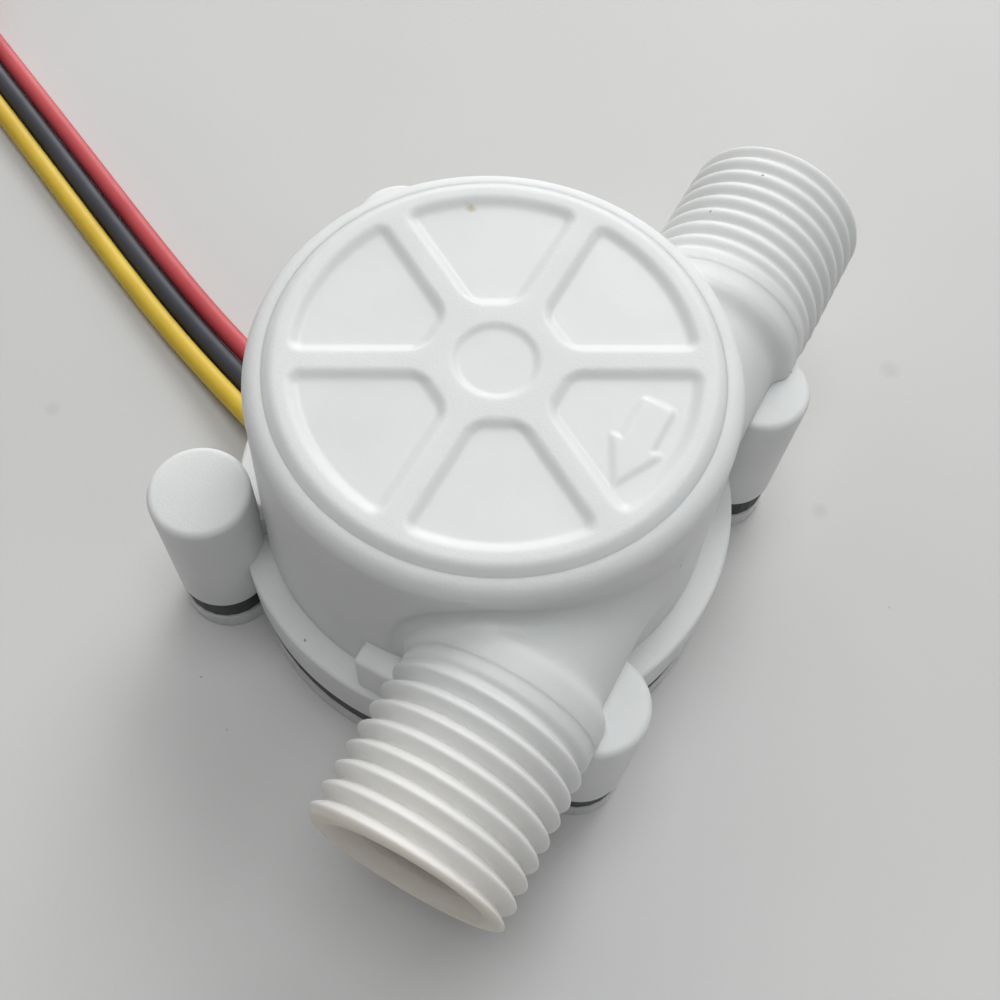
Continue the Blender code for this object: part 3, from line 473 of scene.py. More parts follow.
def painted_bore_light(tree, colour):
    """Painted light: paler, warmer tone on what lies near the pipe's axis, for light that comes through the
    bore's thin wall.
    """
    axis = tree.nodes.new("ShaderNodeVectorMath")
    axis.operation = "MULTIPLY"
    axis.inputs[1].default_value = (1, 0, 1)
    tree.links.new(place_of(tree), axis.inputs[0])
    distance = distance_to(tree, axis.outputs["Vector"], (PIPE_OFFSET, 0, PIPE_AXIS_HEIGHT))
    near = share(tree, distance, NECK_RADIUS, BORE_RADIUS + BORE_PAINTED_LIGHT_MARGIN)
    return laid_over(tree, colour, near, BORE_PAINTED_LIGHT)


def painted_warm_shade(tree, colour):
    """Painted warm shade towards the outlet's end, and most at its end face, which faces away from the lamps.
    """
    along = parts_of(tree, place_of(tree))["Y"]
    for start, end, amount, tone in PAINTED_WARM_SHADE:
        reach = share(tree, along, start * MM, end * MM, 0, amount)
        colour = laid_over(tree, colour, reach, tone)
    return colour


def housing_plastic(name, dark, light):
    """White moulding: satin walls, frosted tops, small specks, painted warm shade at the outlet's end,
    painted light in the bore, and light that spreads inside.
    """
    made, tree, shader = shader_of(name)
    # Painted warm shade towards the outlet's end.
    colour = painted_warm_shade(tree, tones(tree, noise(tree, HOUSING_TONE_WAVES, 3), dark, light))
    # Painted light in the bore.
    colour = spots(tree, painted_bore_light(tree, colour), HOUSING_SPECKS)
    tree.links.new(colour, shader.inputs["Base Color"])
    frost = frost_mask(tree)
    rough = spread(tree, frost, WALL_ROUGHNESS, FROST_ROUGHNESS)
    uneven = maths(tree, "MULTIPLY_ADD", noise(tree, GLOSS_WAVES), ROUGHNESS_SPREAD, rough)
    tree.links.new(uneven, shader.inputs["Roughness"])
    grain = grained(tree, shader, GRAIN_WAVES, GRAIN_HEIGHT)
    crystals = tree.nodes.new("ShaderNodeBump")
    crystals.inputs["Distance"].default_value = CRYSTAL_HEIGHT
    tree.links.new(frost, crystals.inputs["Strength"])
    tree.links.new(noise(tree, CRYSTAL_WAVES, 3, 0.75), crystals.inputs["Height"])
    tree.links.new(grain, crystals.inputs["Normal"])
    tree.links.new(crystals.outputs["Normal"], shader.inputs["Normal"])
    lit_inside(shader, HOUSING_GLOW, HOUSING_GLOW_COLOUR, HOUSING_GLOW_DEPTH)
    return made


def metal(name, dark, light, roughness, scale=900, stretch=(1, 1, 8)):
    made, tree, shader = shader_of(name)
    shader.inputs["Metallic"].default_value = 1.0
    strokes = noise(tree, scale, 6, 0.6, stretch)
    tree.links.new(tones(tree, strokes, dark, light), shader.inputs["Base Color"])
    low, high = roughness
    tree.links.new(spread(tree, strokes, low, high), shader.inputs["Roughness"])
    bump(tree, shader, strokes, 0.3, 0.01 * MM)
    return made


def floor_material():
    made, tree, shader = shader_of("floor_pale")
    colour = tones(tree, noise(tree, 14, 3), (0.60, 0.593, 0.582), (0.66, 0.656, 0.65))
    tree.links.new(spots(tree, colour, FLOOR_SPECKS), shader.inputs["Base Color"])
    shader.inputs["Roughness"].default_value = 0.55
    bump(tree, shader, noise(tree, 2600, 4), 0.35, 0.03 * MM)
    return made


def make_materials():
    return {
        "white_plastic": plastic(
            "white_base",
            (0.79, 0.80, 0.79),
            (0.83, 0.84, 0.835),
            (0.36, 0.46),
            GRAIN_WAVES,
            GRAIN_HEIGHT,
            0.3,
        ),
        "housing": housing_plastic("white_moulding", (0.79, 0.80, 0.795), (0.83, 0.84, 0.835)),
        "black_rubber": plastic(
            "black_rubber", (0.018, 0.019, 0.021), (0.032, 0.033, 0.036), (0.5, 0.68), 5000, 0.02 * MM
        ),
        "steel": metal("zinc_steel", (0.50, 0.50, 0.51), (0.68, 0.68, 0.69), (0.22, 0.36)),
        "grey_plastic": plastic(
            "grey_moulding", (0.36, 0.38, 0.39), (0.45, 0.47, 0.48), (0.35, 0.5), 6000, 0.012 * MM
        ),
        "magnet": metal(
            "sintered_magnet", (0.12, 0.12, 0.13), (0.24, 0.24, 0.25), (0.4, 0.6), 4000, (1, 1, 1)
        ),
        "acetal": plastic(
            "acetal", (0.70, 0.68, 0.60), (0.78, 0.76, 0.70), (0.3, 0.42), 5000, 0.01 * MM, 0.1
        ),
        "board_green": plastic(
            "board_green", (0.02, 0.17, 0.07), (0.04, 0.26, 0.12), (0.3, 0.45), 3000, 0.01 * MM
        ),
        "chip_black": plastic(
            "chip_black", (0.02, 0.02, 0.022), (0.045, 0.045, 0.047), (0.4, 0.55), 9000, 0.01 * MM
        ),
        "ceramic": plastic(
            "ceramic", (0.38, 0.30, 0.21), (0.50, 0.41, 0.30), (0.3, 0.45), 6000, 0.01 * MM
        ),
        "wire_red": plastic(
            "wire_red", (0.50, 0.045, 0.055), (0.60, 0.075, 0.085), (0.42, 0.55), 3500, 0.02 * MM, 0.05
        ),
        "wire_black": plastic(
            "wire_black", (0.010, 0.011, 0.018), (0.024, 0.026, 0.038), (0.46, 0.6), 3500, 0.02 * MM
        ),
        "wire_yellow": plastic(
            "wire_yellow", (0.64, 0.42, 0.025), (0.76, 0.53, 0.045), (0.42, 0.55), 3500, 0.02 * MM, 0.05
        ),
        "tie_white": plastic(
            "tie_white", (0.70, 0.70, 0.69), (0.78, 0.78, 0.77), (0.3, 0.45), 5000, 0.01 * MM, 0.1
        ),
        "plug_white": plastic(
            "plug_white", (0.77, 0.74, 0.66), (0.84, 0.82, 0.76), (0.32, 0.45), 5000, 0.01 * MM, 0.15
        ),
        "tinned_brass": metal("tinned_brass", (0.60, 0.58, 0.52), (0.72, 0.70, 0.65), (0.2, 0.35)),
    }


# Meshes


def add_piece(name, mesh, finish):
    piece = bpy.data.objects.new(name, mesh)
    bpy.context.scene.collection.objects.link(piece)
    mesh.materials.clear()
    mesh.materials.append(finish)
    return piece


def smooth_piece(name, bm, sharp, finish):
    """Piece from a closed mesh, shaded smooth up to an angle in degrees."""
    bmesh.ops.recalc_face_normals(bm, faces=bm.faces)
    mesh = bpy.data.meshes.new(name)
    bm.to_mesh(mesh)
    bm.free()
    mesh.shade_smooth()
    mesh.set_sharp_from_angle(angle=math.radians(sharp))
    return add_piece(name, mesh, finish)


def working(bm):
    bmesh.ops.recalc_face_normals(bm, faces=bm.faces)
    mesh = bpy.data.meshes.new("working")
    bm.to_mesh(mesh)
    bm.free()
    obj = bpy.data.objects.new("working", mesh)
    bpy.context.scene.collection.objects.link(obj)
    return obj


def lathe(profile, segments, along_pipe=False):
    """Closed turned solid from a closed list of (radius, height) pairs."""
    bm = bmesh.new()
    rings = []
    for radius, height in profile:
        count = segments if radius > 0 else 1
        angles = (2 * math.pi * k / segments for k in range(count))
        rings.append(
            [bm.verts.new((radius * math.cos(a), radius * math.sin(a), height)) for a in angles]
        )
    for ring, above in zip(rings, rings[1:] + rings[:1]):
        for k in range(segments):
            after = (k + 1) % segments
            corners = [ring[k % len(ring)], ring[after % len(ring)]]
            corners += [above[after % len(above)], above[k % len(above)]]
            distinct = list(dict.fromkeys(corners))
            if len(distinct) > 2:
                bm.faces.new(distinct)
    if along_pipe:
        bm.transform(Matrix.Rotation(math.radians(-90), 4, "X"))
        bm.transform(Matrix.Translation((PIPE_OFFSET, 0, PIPE_AXIS_HEIGHT)))
    return bm


def box(low, high):
    bm = bmesh.new()
    bmesh.ops.create_cube(bm, size=1)
    low, high = Vector(low), Vector(high)
    bm.transform(Matrix.Translation((low + high) / 2) @ Matrix.Diagonal((*(high - low), 1)))
    return bm


def arc(centre, radius, start, end, steps):
    angles = (start + (end - start) * k / steps for k in range(steps + 1))
    return [(centre[0] + radius * math.cos(a), centre[1] + radius * math.sin(a)) for a in angles]


def boolean(target, tools, operation):
    for tool in tools:
        modifier = target.modifiers.new("boolean", "BOOLEAN")
        modifier.operation = operation
        modifier.object = tool
        applied(target)
        bpy.data.objects.remove(tool, do_unlink=True)
    return target


def applied(obj):
    """Puts the result of an object's modifiers in its mesh."""
    depsgraph = bpy.context.evaluated_depsgraph_get()
    made = bpy.data.meshes.new_from_object(obj.evaluated_get(depsgraph))
    obj.modifiers.clear()
    obj.data = made
    return obj


def skin(distance, low, high, step):
    """Points and quads of the surface where a distance is zero, inside a box."""
    axes = [np.arange(start, end, step) for start, end in zip(low, high)]
    grid = np.stack(np.meshgrid(*axes, indexing="ij"), axis=-1)
    inside = distance(grid) < 0
    corners = np.zeros([size - 1 for size in inside.shape], dtype=int)
    for i, j, k in np.ndindex(2, 2, 2):
        x, y, z = corners.shape
        corners += inside[i : i + x, j : j + y, k : k + z]
    cells = (corners > 0) & (corners < 8)
    number = np.full(cells.shape, -1)
    number[cells] = np.arange(cells.sum())
    points = grid[:-1, :-1, :-1][cells] + step / 2
    for _ in range(SKIN_ROUNDS):
        value = distance(points)
        slope = gradient(distance, points)
        points = points - (value / (slope**2).sum(axis=1))[:, None] * slope
    faces = []
    for axis in range(3):
        turned = np.moveaxis(inside, axis, 0)
        ids = np.moveaxis(number, axis, 0)
        change = (turned[:-1] != turned[1:])[:, 1:-1, 1:-1]
        around = [ids[:, :-1, :-1], ids[:, 1:, :-1], ids[:, 1:, 1:], ids[:, :-1, 1:]]
        faces.append(np.stack([corner[change] for corner in around], axis=1))
    return points, np.concatenate(faces)


def gradient(distance, points):
    steps = np.eye(3) * SLOPE_REACH
    return np.stack(
        [(distance(points + step) - distance(points - step)) / (2 * SLOPE_REACH) for step in steps],
        axis=-1,
    )


# Housing


def wall_radius(height):
    """Outer radius of the drafted wall."""
    foot, top = FLANGE_TOP + FOOT_ROUND, CREASE_HEIGHT - SHOULDER_ROUND
    return WALL_BASE_RADIUS + (WALL_TOP_RADIUS - WALL_BASE_RADIUS) * (height - foot) / (top - foot)


def wall_solid():
    """Drafted wall with its flange, rounded shoulder and open middle."""
    shoulder = WALL_TOP_RADIUS - SHOULDER_ROUND
    shoulder_height = CREASE_HEIGHT - SHOULDER_ROUND
    profile = [(CHAMBER_RADIUS, HOUSING_BOTTOM), (FLANGE_RADIUS, HOUSING_BOTTOM)]
    edge = (FLANGE_RADIUS - FLANGE_ROUND, FLANGE_TOP - FLANGE_ROUND)
    profile += arc(edge, FLANGE_ROUND, 0, math.pi / 2, 6)
    foot = (WALL_BASE_RADIUS + FOOT_ROUND, FLANGE_TOP + FOOT_ROUND)
    profile += arc(foot, FOOT_ROUND, 1.5 * math.pi, math.pi, 3)
    for height in np.arange(FLANGE_TOP + MM, shoulder_height - MM / 2, MM):
        profile.append((wall_radius(height), height))
    profile += arc((shoulder, shoulder_height), SHOULDER_ROUND, 0, math.pi / 2, 10)
    profile += [(CHAMBER_RADIUS, CREASE_HEIGHT)]
    return working(lathe(profile, WALL_SEGMENTS))


def pipe_solid():
    """Plain core of neck and collars, a little inside their blended skin."""
    neck, collar = NECK_RADIUS - CORE_INSET, COLLAR_RADIUS - CORE_INSET
    shoulder, end = COLLAR_SHOULDER + CORE_INSET + COLLAR_ROUND, THREAD_START + CORE_OVERLAP
    inside, last = BORE_RADIUS + CORE_BORE_MARGIN, PIPE_END - CORE_END_GAP
    half = [
        (neck, COLLAR_SHOULDER + CORE_INSET),
        (collar - COLLAR_ROUND, COLLAR_SHOULDER + CORE_INSET),
        (collar, shoulder),
        (collar, end),
        (inside, end),
        (inside, last),
        (0, last),
    ]
    profile = [(radius, -y) for radius, y in reversed(half)] + half
    return working(lathe(profile, PIPE_SEGMENTS, True))


def pipe_distance(point):
    """Distance to neck and collars, with the inner corner at the shoulder rounded."""
    x, y, z = np.moveaxis(point, -1, 0)
    from_axis = np.hypot(x - PIPE_OFFSET, z - PIPE_AXIS_HEIGHT)
    sides = np.stack([from_axis - COLLAR_RADIUS, COLLAR_SHOULDER - np.abs(y)])
    reach = NECK_BLEND * (NECK_BLEND_REST - smoothstep((np.abs(y) - COLLAR_SHOULDER) / MM))
    return soft_least(from_axis - NECK_SKIN_RADIUS, round_corner(sides, COLLAR_ROUND), reach)


def root_distance(point):
    """Distance to the pipe and the chamber wall, with a soft inner corner between them."""
    x, y, z = np.moveaxis(point, -1, 0)
    wall = np.hypot(x, y) - wall_radius(z)
    return soft_least(pipe_distance(point), wall, WALL_BLEND)


def soft_least(a, b, reach):
    near = np.maximum(reach - np.abs(a - b), 0)
    return np.minimum(a, b) - near**2 / (4 * reach)


def root_solid_distance(point):
    """Distance to a hollow piece of neck and collar, just under the wall where it runs out."""
    x, y, z = np.moveaxis(point, -1, 0)
    from_axis = np.hypot(x - PIPE_OFFSET, z - PIPE_AXIS_HEIGHT)
    from_pipe = pipe_distance(point)
    sink = ROOT_SINK * smoothstep((from_pipe - WALL_BLEND) / ROOT_BORDER) - ROOT_PROUD
    limits = [
        root_distance(point) + sink,
        from_pipe - WALL_BLEND - ROOT_BORDER,
        BORE_RADIUS + ROOT_GAP - from_axis,
        CHAMBER_RADIUS + ROOT_GAP - np.hypot(x, y),
        y - ROOT_END,
        ROOT_START - y,
        FLANGE_TOP + ROOT_GAP / 2 - z,
    ]
    return np.max(limits, axis=0)


def make_pipe_root(name, side, finish):
    """Neck and collar, which run out just under the wall and under the thread."""
    points, faces = skin(root_solid_distance, ROOT_GRID_LOW, ROOT_GRID_HIGH, SKIN_STEP)
    points[:, 1] *= side
    bm = bmesh.new()
    verts = [bm.verts.new(point) for point in points]
    for face in faces:
        bm.faces.new([verts[corner] for corner in face])
    return smooth_piece(name, bm, SKIN_SHARP, finish)


def boss_solid(x, y):
    profile = [(0, HOUSING_BOTTOM), (BOSS_RADIUS, HOUSING_BOTTOM)]
    edge = (BOSS_RADIUS - BOSS_ROUND, PIPE_AXIS_HEIGHT - BOSS_ROUND)
    profile += arc(edge, BOSS_ROUND, 0, math.pi / 2, 5)
    boss = working(lathe([*profile, (0, PIPE_AXIS_HEIGHT)], BOSS_SEGMENTS))
    boss.data.transform(Matrix.Translation((x, y, 0)))
    return boss


def web_solid(x, y):
    """Rib between the wall and a boss."""
    half = BOSS_WEB / 2
    low = (CHAMBER_RADIUS + MM, -half, HOUSING_BOTTOM + MM)
    web = working(box(low, (math.hypot(x, y), half, WEB_TOP)))
    web.data.transform(Matrix.Rotation(math.atan2(y, x), 4, "Z"))
    return web


def block_solid(side):
    """Block under a collar, with softened outer edges."""
    outline = [
        (BLOCK_LEFT, BLOCK_HIDDEN_LEFT),
        BLOCK_HIDDEN_CORNER,
        (BLOCK_RIGHT, BOSS_Y),
        (BLOCK_RIGHT, BLOCK_REACH),
        (BLOCK_LEFT, BLOCK_REACH),
    ]
    bm = bmesh.new()
    rings = [
        [bm.verts.new((x, side * y, height)) for x, y in outline]
        for height in (HOUSING_BOTTOM + BLOCK_FOOT_GAP, BLOCK_TOP)
    ]
    bm.faces.new(rings[0])
    bm.faces.new(rings[1])
    for k in range(len(outline)):
        after = (k + 1) % len(outline)
        bm.faces.new((rings[0][k], rings[0][after], rings[1][after], rings[1][k]))
    bmesh.ops.recalc_face_normals(bm, faces=bm.faces)
    outer = [edge for edge in bm.edges if any(v.co.z > BLOCK_ROUND_FROM for v in edge.verts)]
    bmesh.ops.bevel(bm, geom=outer, offset=BLOCK_ROUND, segments=3, affect="EDGES", profile=0.5)
    return working(bm)


def chamber_solid():
    profile = [(0, 0), (CHAMBER_RADIUS, 0), (CHAMBER_RADIUS, HOUSING_TOP), (0, HOUSING_TOP)]
    return working(lathe(profile, WALL_SEGMENTS))


def bore_solid(side):
    inside, outside = sorted((side * BORE_CUT_START, side * (PIPE_END + MM)))
    radius = BORE_RADIUS + BORE_CUT_GAP
    profile = [(0, inside), (radius, inside), (radius, outside), (0, outside)]
    return working(lathe(profile, BORE_SEGMENTS, True))


def screw_hole(x, y):
    radius, top = SCREW_HOLE_RADIUS, SCREW_HOLE_TOP
    hole = working(lathe([(0, 0), (radius, 0), (radius, top), (0, top)], HOLE_SEGMENTS))
    hole.data.transform(Matrix.Translation((x, y, 0)))
    return hole


def make_housing_body(finish):
    """Wall, flange, bosses, blocks and the core of the pipe as one moulding."""
    corners = [(x, y) for x in (-BOSS_X, BOSS_X) for y in (-BOSS_Y, BOSS_Y)]
    body = wall_solid()
    additions = [pipe_solid(), block_solid(-1), block_solid(1)]
    additions += [boss_solid(*corner) for corner in corners]
    additions += [web_solid(*corner) for corner in corners]
    boolean(body, additions, "UNION")
    pocket = [[value * MM for value in corner] for corner in BOARD_POCKET]
    cuts = [chamber_solid(), bore_solid(-1), bore_solid(1), working(box(*pocket))]
    cuts += [screw_hole(*corner) for corner in corners]
    boolean(body, cuts, "DIFFERENCE")
    mesh = body.data
    bpy.data.objects.remove(body)
    mesh.shade_smooth()
    mesh.set_sharp_from_angle(angle=math.radians(BODY_SHARP))
    return add_piece("housing_body", mesh, finish)


def smoothstep(t):
    t = np.clip(t, 0, 1)
    return t * t * (3 - 2 * t)


def round_corner(sides, corner):
    """Distance to a convex shape with rounded corners, from the distances to its sides."""
    grown = np.maximum(sides + corner, 0)
    inside = np.minimum(np.max(sides, axis=0) + corner, 0)
    return np.sqrt((grown**2).sum(axis=0)) + inside - corner


def pocket_distance(x, y):
    """Distance to the edge of the nearest pocket, negative inside it."""
    step = math.pi / 3
    turn = np.round(np.arctan2(y, x) / step) * step
    along = x * np.cos(turn) + y * np.sin(turn)
    across = np.abs(y * np.cos(turn) - x * np.sin(turn))
    rib = RIB_WIDTH / 2 - (along * math.sin(step / 2) - across * math.cos(step / 2))
    sides = np.stack([np.hypot(x, y) - POCKET_RADIUS, rib, HUB_FLAT - along])
    return round_corner(sides, POCKET_CORNER)


def arrow_distance(x, y):
    """Distance to the outline of the flow arrow, negative inside it."""
    across = np.abs(x - ARROW_X)
    shaft = np.stack([across - ARROW_SHAFT_WIDTH / 2, y - ARROW_TAIL, ARROW_NECK - MM - y])
    half, length = ARROW_HEAD_WIDTH / 2, ARROW_NECK - ARROW_TIP
    slant = math.hypot(half, length)
    edge = (across * length - (y - ARROW_TIP) * half) / slant
    head = np.stack([y - ARROW_NECK, edge])
    return np.minimum(round_corner(shaft, ARROW_CORNER), round_corner(head, ARROW_CORNER))


def cover_height(x, y):
    """Height of the cover's relief at any place."""
    radius = np.hypot(x, y)
    pocket = smoothstep(-pocket_distance(x, y) / POCKET_SLOPE) * POCKET_DEPTH
    hub = smoothstep((HUB_RECESS_RADIUS - radius) / HUB_RECESS_SLOPE) * HUB_RECESS_DEPTH
    arrow = smoothstep(0.5 - arrow_distance(x, y) / ARROW_SLOPE) * ARROW_HEIGHT
    edge = np.clip((radius - (CREASE_RADIUS - RIM_ROUND)) / RIM_ROUND, 0, 1)
    rim = (1 - np.cos(edge**RIM_POWER * RIM_SWEEP)) / (1 - math.cos(RIM_SWEEP))
    rim *= HOUSING_TOP - CREASE_HEIGHT
    return HOUSING_TOP - pocket - hub + arrow - rim


def make_cover(finish):
    """Cover with its relief, as rings of points at the relief's height."""
    around = COVER_SEGMENTS
    radii = np.linspace(COVER_MIDDLE, CREASE_RADIUS, COVER_RINGS)
    angles = np.arange(around) * 2 * math.pi / around
    x = (radii[:, None] * np.cos(angles)).ravel()
    y = (radii[:, None] * np.sin(angles)).ravel()
    top = np.stack([x, y, cover_height(x, y)], axis=1)
    bm = bmesh.new()
    verts = [bm.verts.new(point) for point in top]
    rings = [verts[k * around : (k + 1) * around] for k in range(COVER_RINGS)]
    lower = [(CREASE_RADIUS, CREASE_HEIGHT - COVER_SKIRT_DEPTH), (CREASE_RADIUS - COVER_SKIRT_INSET, CEILING)]
    lower += [(SPIGOT_RADIUS, CEILING), (SPIGOT_RADIUS, SPIGOT_END)]
    lower += [(SHAFT_HOLE_RADIUS, SPIGOT_END), (SHAFT_HOLE_RADIUS, SHAFT_HOLE_TOP)]
    for radius, height in lower:
        ring = [(radius * math.cos(a), radius * math.sin(a), height) for a in angles]
        rings.append([bm.verts.new(point) for point in ring])
    for ring, after in zip(rings, rings[1:]):
        for k in range(around):
            nxt = (k + 1) % around
            bm.faces.new((ring[k], after[k], after[nxt], ring[nxt]))
    bm.faces.new(reversed(rings[0]))
    bm.faces.new(rings[-1])
    return smooth_piece("housing_cover", bm, SKIN_SHARP, finish)


def thread_radius(y, angle, depth):
    """Outer radius of collar, thread and lip at a distance along the pipe and an angle."""
    phase = (y - THREAD_SHIFT) / THREAD_PITCH - angle / (2 * math.pi)
    crest = (0.5 + 0.5 * math.cos(2 * math.pi * phase)) ** THREAD_FULLNESS
    radius = THREAD_RADIUS - depth * (1 - crest)
    begun = smoothstep((y - COLLAR_END + THREAD_RUN_IN / 2) / THREAD_RUN_IN)
    radius = COLLAR_RADIUS + (radius - COLLAR_RADIUS) * begun
    lip = smoothstep((y - PIPE_END + LIP_LENGTH) / (LIP_LENGTH - LIP_ROUND))
    radius += max(LIP_RADIUS - radius, 0) * lip
    low, high, reach = THREAD_LIFT
    radius += low + (high - low) * smoothstep((y - THREAD_START) / reach)
    edge = max(y - PIPE_END + LIP_ROUND, 0)
    return radius - LIP_ROUND + math.sqrt(LIP_ROUND**2 - edge**2)


def make_thread(name, side, thread_depth, finish):
    """End of the collar, helical thread, end face and mouth of the bore, as one closed mesh."""
    angles = [2 * math.pi * k / THREAD_SEGMENTS for k in range(THREAD_SEGMENTS)]
    inside = THREAD_START + FIRST_ROW_GAP
    rings = [[(COLLAR_RADIUS - LEDGE_DEPTH, a, THREAD_START) for a in angles]]
    for row in range(THREAD_ROWS + 1):
        y = min(inside + (PIPE_END - inside) * row / THREAD_ROWS, PIPE_END - LAST_ROW_GAP)
        rings.append([(thread_radius(y, a, thread_depth), a, y) for a in angles])
    mouth = [(BORE_RADIUS + widening * MM, PIPE_END - depth * MM) for widening, depth in BORE_MOUTH]
    mouth += [(BORE_RADIUS, THREAD_START)]
    for radius, y in mouth:
        rings.append([(radius, a, y) for a in angles])
    bm = bmesh.new()
    grid = []
    for ring in rings:
        made = []
        for radius, a, y in ring:
            x, z = radius * math.cos(a), radius * math.sin(a)
            made.append(bm.verts.new((PIPE_OFFSET + side * x, side * y, PIPE_AXIS_HEIGHT + z)))
        grid.append(made)
    for ring, after in zip(grid, grid[1:] + grid[:1]):
        for k in range(THREAD_SEGMENTS):
            nxt = (k + 1) % THREAD_SEGMENTS
            bm.faces.new((ring[k], ring[nxt], after[nxt], after[k]))
    return smooth_piece(name, bm, THREAD_SHARP, finish)


def make_housing(materials):
    finish = materials["housing"]
    made = [make_housing_body(finish), make_cover(finish)]
    made += [make_pipe_root("neck_outlet", -1, finish), make_pipe_root("neck_inlet", 1, finish)]
    made += [make_thread("thread_outlet", -1, THREAD_DEPTH, finish)]
    made += [make_thread("thread_inlet", 1, REAR_THREAD_DEPTH, finish)]
    for piece in made:
        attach(piece, "sensor")
        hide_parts("housing")


# Lead


def smooth_route(points, steps):
    """Close points along a smooth curve through the given ones."""
    dense = []
    ends = [points[0], *points, points[-1]]
    for k in range(1, len(ends) - 2):
        a, b, c, d = (Vector(ends[k + shift]) for shift in (-1, 0, 1, 2))
        for step in range(steps):
            t = step / steps
            bend = (2 * a - 5 * b + 4 * c - d) * t**2 + (3 * b - a - 3 * c + d) * t**3
            dense.append((2 * b + (c - a) * t + bend) / 2)
    dense.append(Vector(points[-1]))
    return dense


def eased(points, start, end):
    """Evens out the bends between two places of a route."""
    for _ in range(EASING_ROUNDS):
        for k in range(start, end):
            points[k] = (points[k - 1] + 2 * points[k] + points[k + 1]) / 4
    return points


def coil_route():
    """Middle of the wires round the coil, with a hump where they cross the lead."""
    points = []
    count = round(COIL_TURNS * COIL_STEPS_PER_TURN)
    for step in range(count + 1):
        turn = COIL_TURNS * step / count
        angle = COIL_START_ANGLE + 2 * math.pi * turn
        radius = COIL_START_RADIUS + COIL_PITCH * turn
        rise = min(turn * COIL_RISE_RATE, 1)
        height = LYING_HEIGHT + (COIL_HEIGHT - LYING_HEIGHT) * rise
        near = min(abs(angle - HUMP_ANGLE) / HUMP_SPREAD, 1)
        height += HUMP_HEIGHT * math.cos(near * math.pi / 2) ** 2
        x, y = COIL_CENTRE.x + radius * math.cos(angle), COIL_CENTRE.y + radius * math.sin(angle)
        points.append((x, y, height))
    return points


def wire_points(place):
    """Route of one wire: flat beside the others, bundled in the coil, spread at the plug."""
    coil = coil_route()
    steps = ROUTE_STEPS
    route = [*LEAD_ROUTE, *coil, *TAIL_ROUTE]
    middle = eased(smooth_route(route, steps), 2 * steps, len(LEAD_ROUTE) * steps)
    bundle_start = (len(LEAD_ROUTE) + BUNDLE_FROM * len(coil)) * steps
    bundle_full = (len(LEAD_ROUTE) + BUNDLE_TO * len(coil)) * steps
    tail_start = (len(LEAD_ROUTE) + len(coil) - 2) * steps
    tail_end = len(middle) - 2 * steps
    points = []
    for k, point in enumerate(middle):
        before, after = middle[max(k - 1, 0)], middle[min(k + 1, len(middle) - 1)]
        along = (after - before).to_2d().normalized()
        bundled = smoothstep((k - bundle_start) / (bundle_full - bundle_start))
        tail = smoothstep((k - tail_start) / (tail_end - tail_start))
        half = WIRE_PITCH + (BUNDLE_HALF - WIRE_PITCH) * bundled
        half += (PLUG_PITCH - half) * tail
        lift = math.sqrt(max(WIRE_PITCH**2 - half**2, 0)) if place == 0 else 0
        side = Vector((along.y, -along.x, 0)) * place * half
        points.append(point + side + Vector((0, 0, lift)))
    return points


def make_wire(colour, place, finish):
    name = f"lead_{colour}"
    points = wire_points(place)
    curve = bpy.data.curves.new(name, "CURVE")
    curve.dimensions = "3D"
    curve.bevel_depth = WIRE_DIAMETER / 2
    curve.bevel_resolution = 5
    curve.use_fill_caps = True
    spline = curve.splines.new("POLY")
    spline.points.add(len(points) - 1)
    for slot, point in zip(spline.points, points):
        slot.co = (*point, 1.0)
    spline.use_smooth = True
    wire = bpy.data.objects.new(name, curve)
    bpy.context.scene.collection.objects.link(wire)
    curve.materials.append(finish)
    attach(wire, "sensor")
    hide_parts(f"wire_{colour}", f"wire_end_{colour}", "lead_coil")
    return wire


# Nodes that keep their shape


def dress_nodes(materials):
    for part in frame["record"]["subparts"]:
        node = frame["nodes"][part["node"]]
        finish = materials[part["material_slot"]]
        node.data.materials.clear()
        node.data.materials.append(finish)


# Floor, light and camera


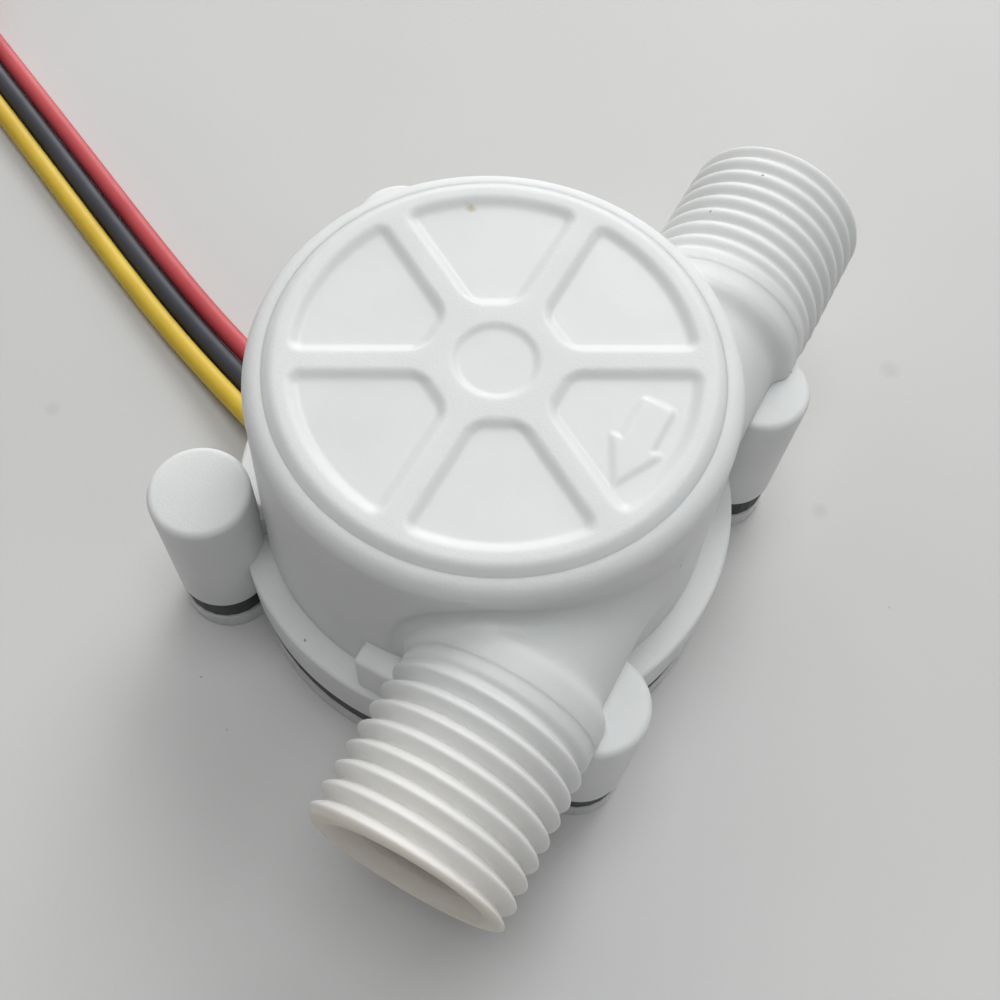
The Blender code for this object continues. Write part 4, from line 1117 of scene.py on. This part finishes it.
def make_floor():
    bm = bmesh.new()
    bmesh.ops.create_grid(bm, x_segments=1, y_segments=1, size=FLOOR_HALF)
    mesh = bpy.data.meshes.new("floor")
    bm.to_mesh(mesh)
    bm.free()
    floor = add_piece("floor", mesh, floor_material())
    floor.location.z = -FLOOR_DROP


def soft_light(name, towards, power, colour):
    """Large disk of light at a set distance in one direction."""
    light = bpy.data.lights.new(name, "AREA")
    light.shape = "DISK"
    light.size = LAMP_SIZE
    light.energy = power
    light.color = colour
    lamp = bpy.data.objects.new(name, light)
    bpy.context.scene.collection.objects.link(lamp)
    lamp.location = Vector(towards).normalized() * LAMP_DISTANCE
    lamp.rotation_euler = lamp.location.to_track_quat("Z", "Y").to_euler()


def make_light():
    """Dim room, paler where it is seen or mirrored, and large soft lamps."""
    world = bpy.data.worlds.new("soft_room")
    bpy.context.scene.world = world
    world.use_nodes = True
    tree = world.node_tree
    background = tree.nodes["Background"]
    background.inputs["Color"].default_value = (*ROOM_COLOUR, 1)
    path = tree.nodes.new("ShaderNodeLightPath").outputs
    seen = maths(tree, "MAXIMUM", path["Is Camera Ray"], path["Is Glossy Ray"])
    tree.links.new(spread(tree, seen, ROOM_LIGHT, ROOM_SEEN), background.inputs["Strength"])
    for name, (towards, power, colour) in LAMPS.items():
        soft_light(name, towards, power, colour)


def make_camera():
    data = bpy.data.cameras.new("photo_camera")
    data.lens = CAMERA_LENS
    data.sensor_width = CAMERA_SENSOR
    data.sensor_height = CAMERA_SENSOR
    data.sensor_fit = "HORIZONTAL"
    data.clip_start = CAMERA_NEAREST
    camera = bpy.data.objects.new("photo_camera", data)
    bpy.context.scene.collection.objects.link(camera)
    camera.location = CAMERA_PLACE
    camera.rotation_euler = [math.radians(turn) for turn in CAMERA_TURN]
    bpy.context.scene.camera = camera
    bpy.context.scene.view_settings.view_transform = "Standard"


def main():
    make_camera()
    materials = make_materials()
    for colour, place in WIRES.items():
        make_wire(colour, place, materials[f"wire_{colour}"])
    dress_nodes(materials)
    make_housing(materials)
    make_floor()
    make_light()


main()
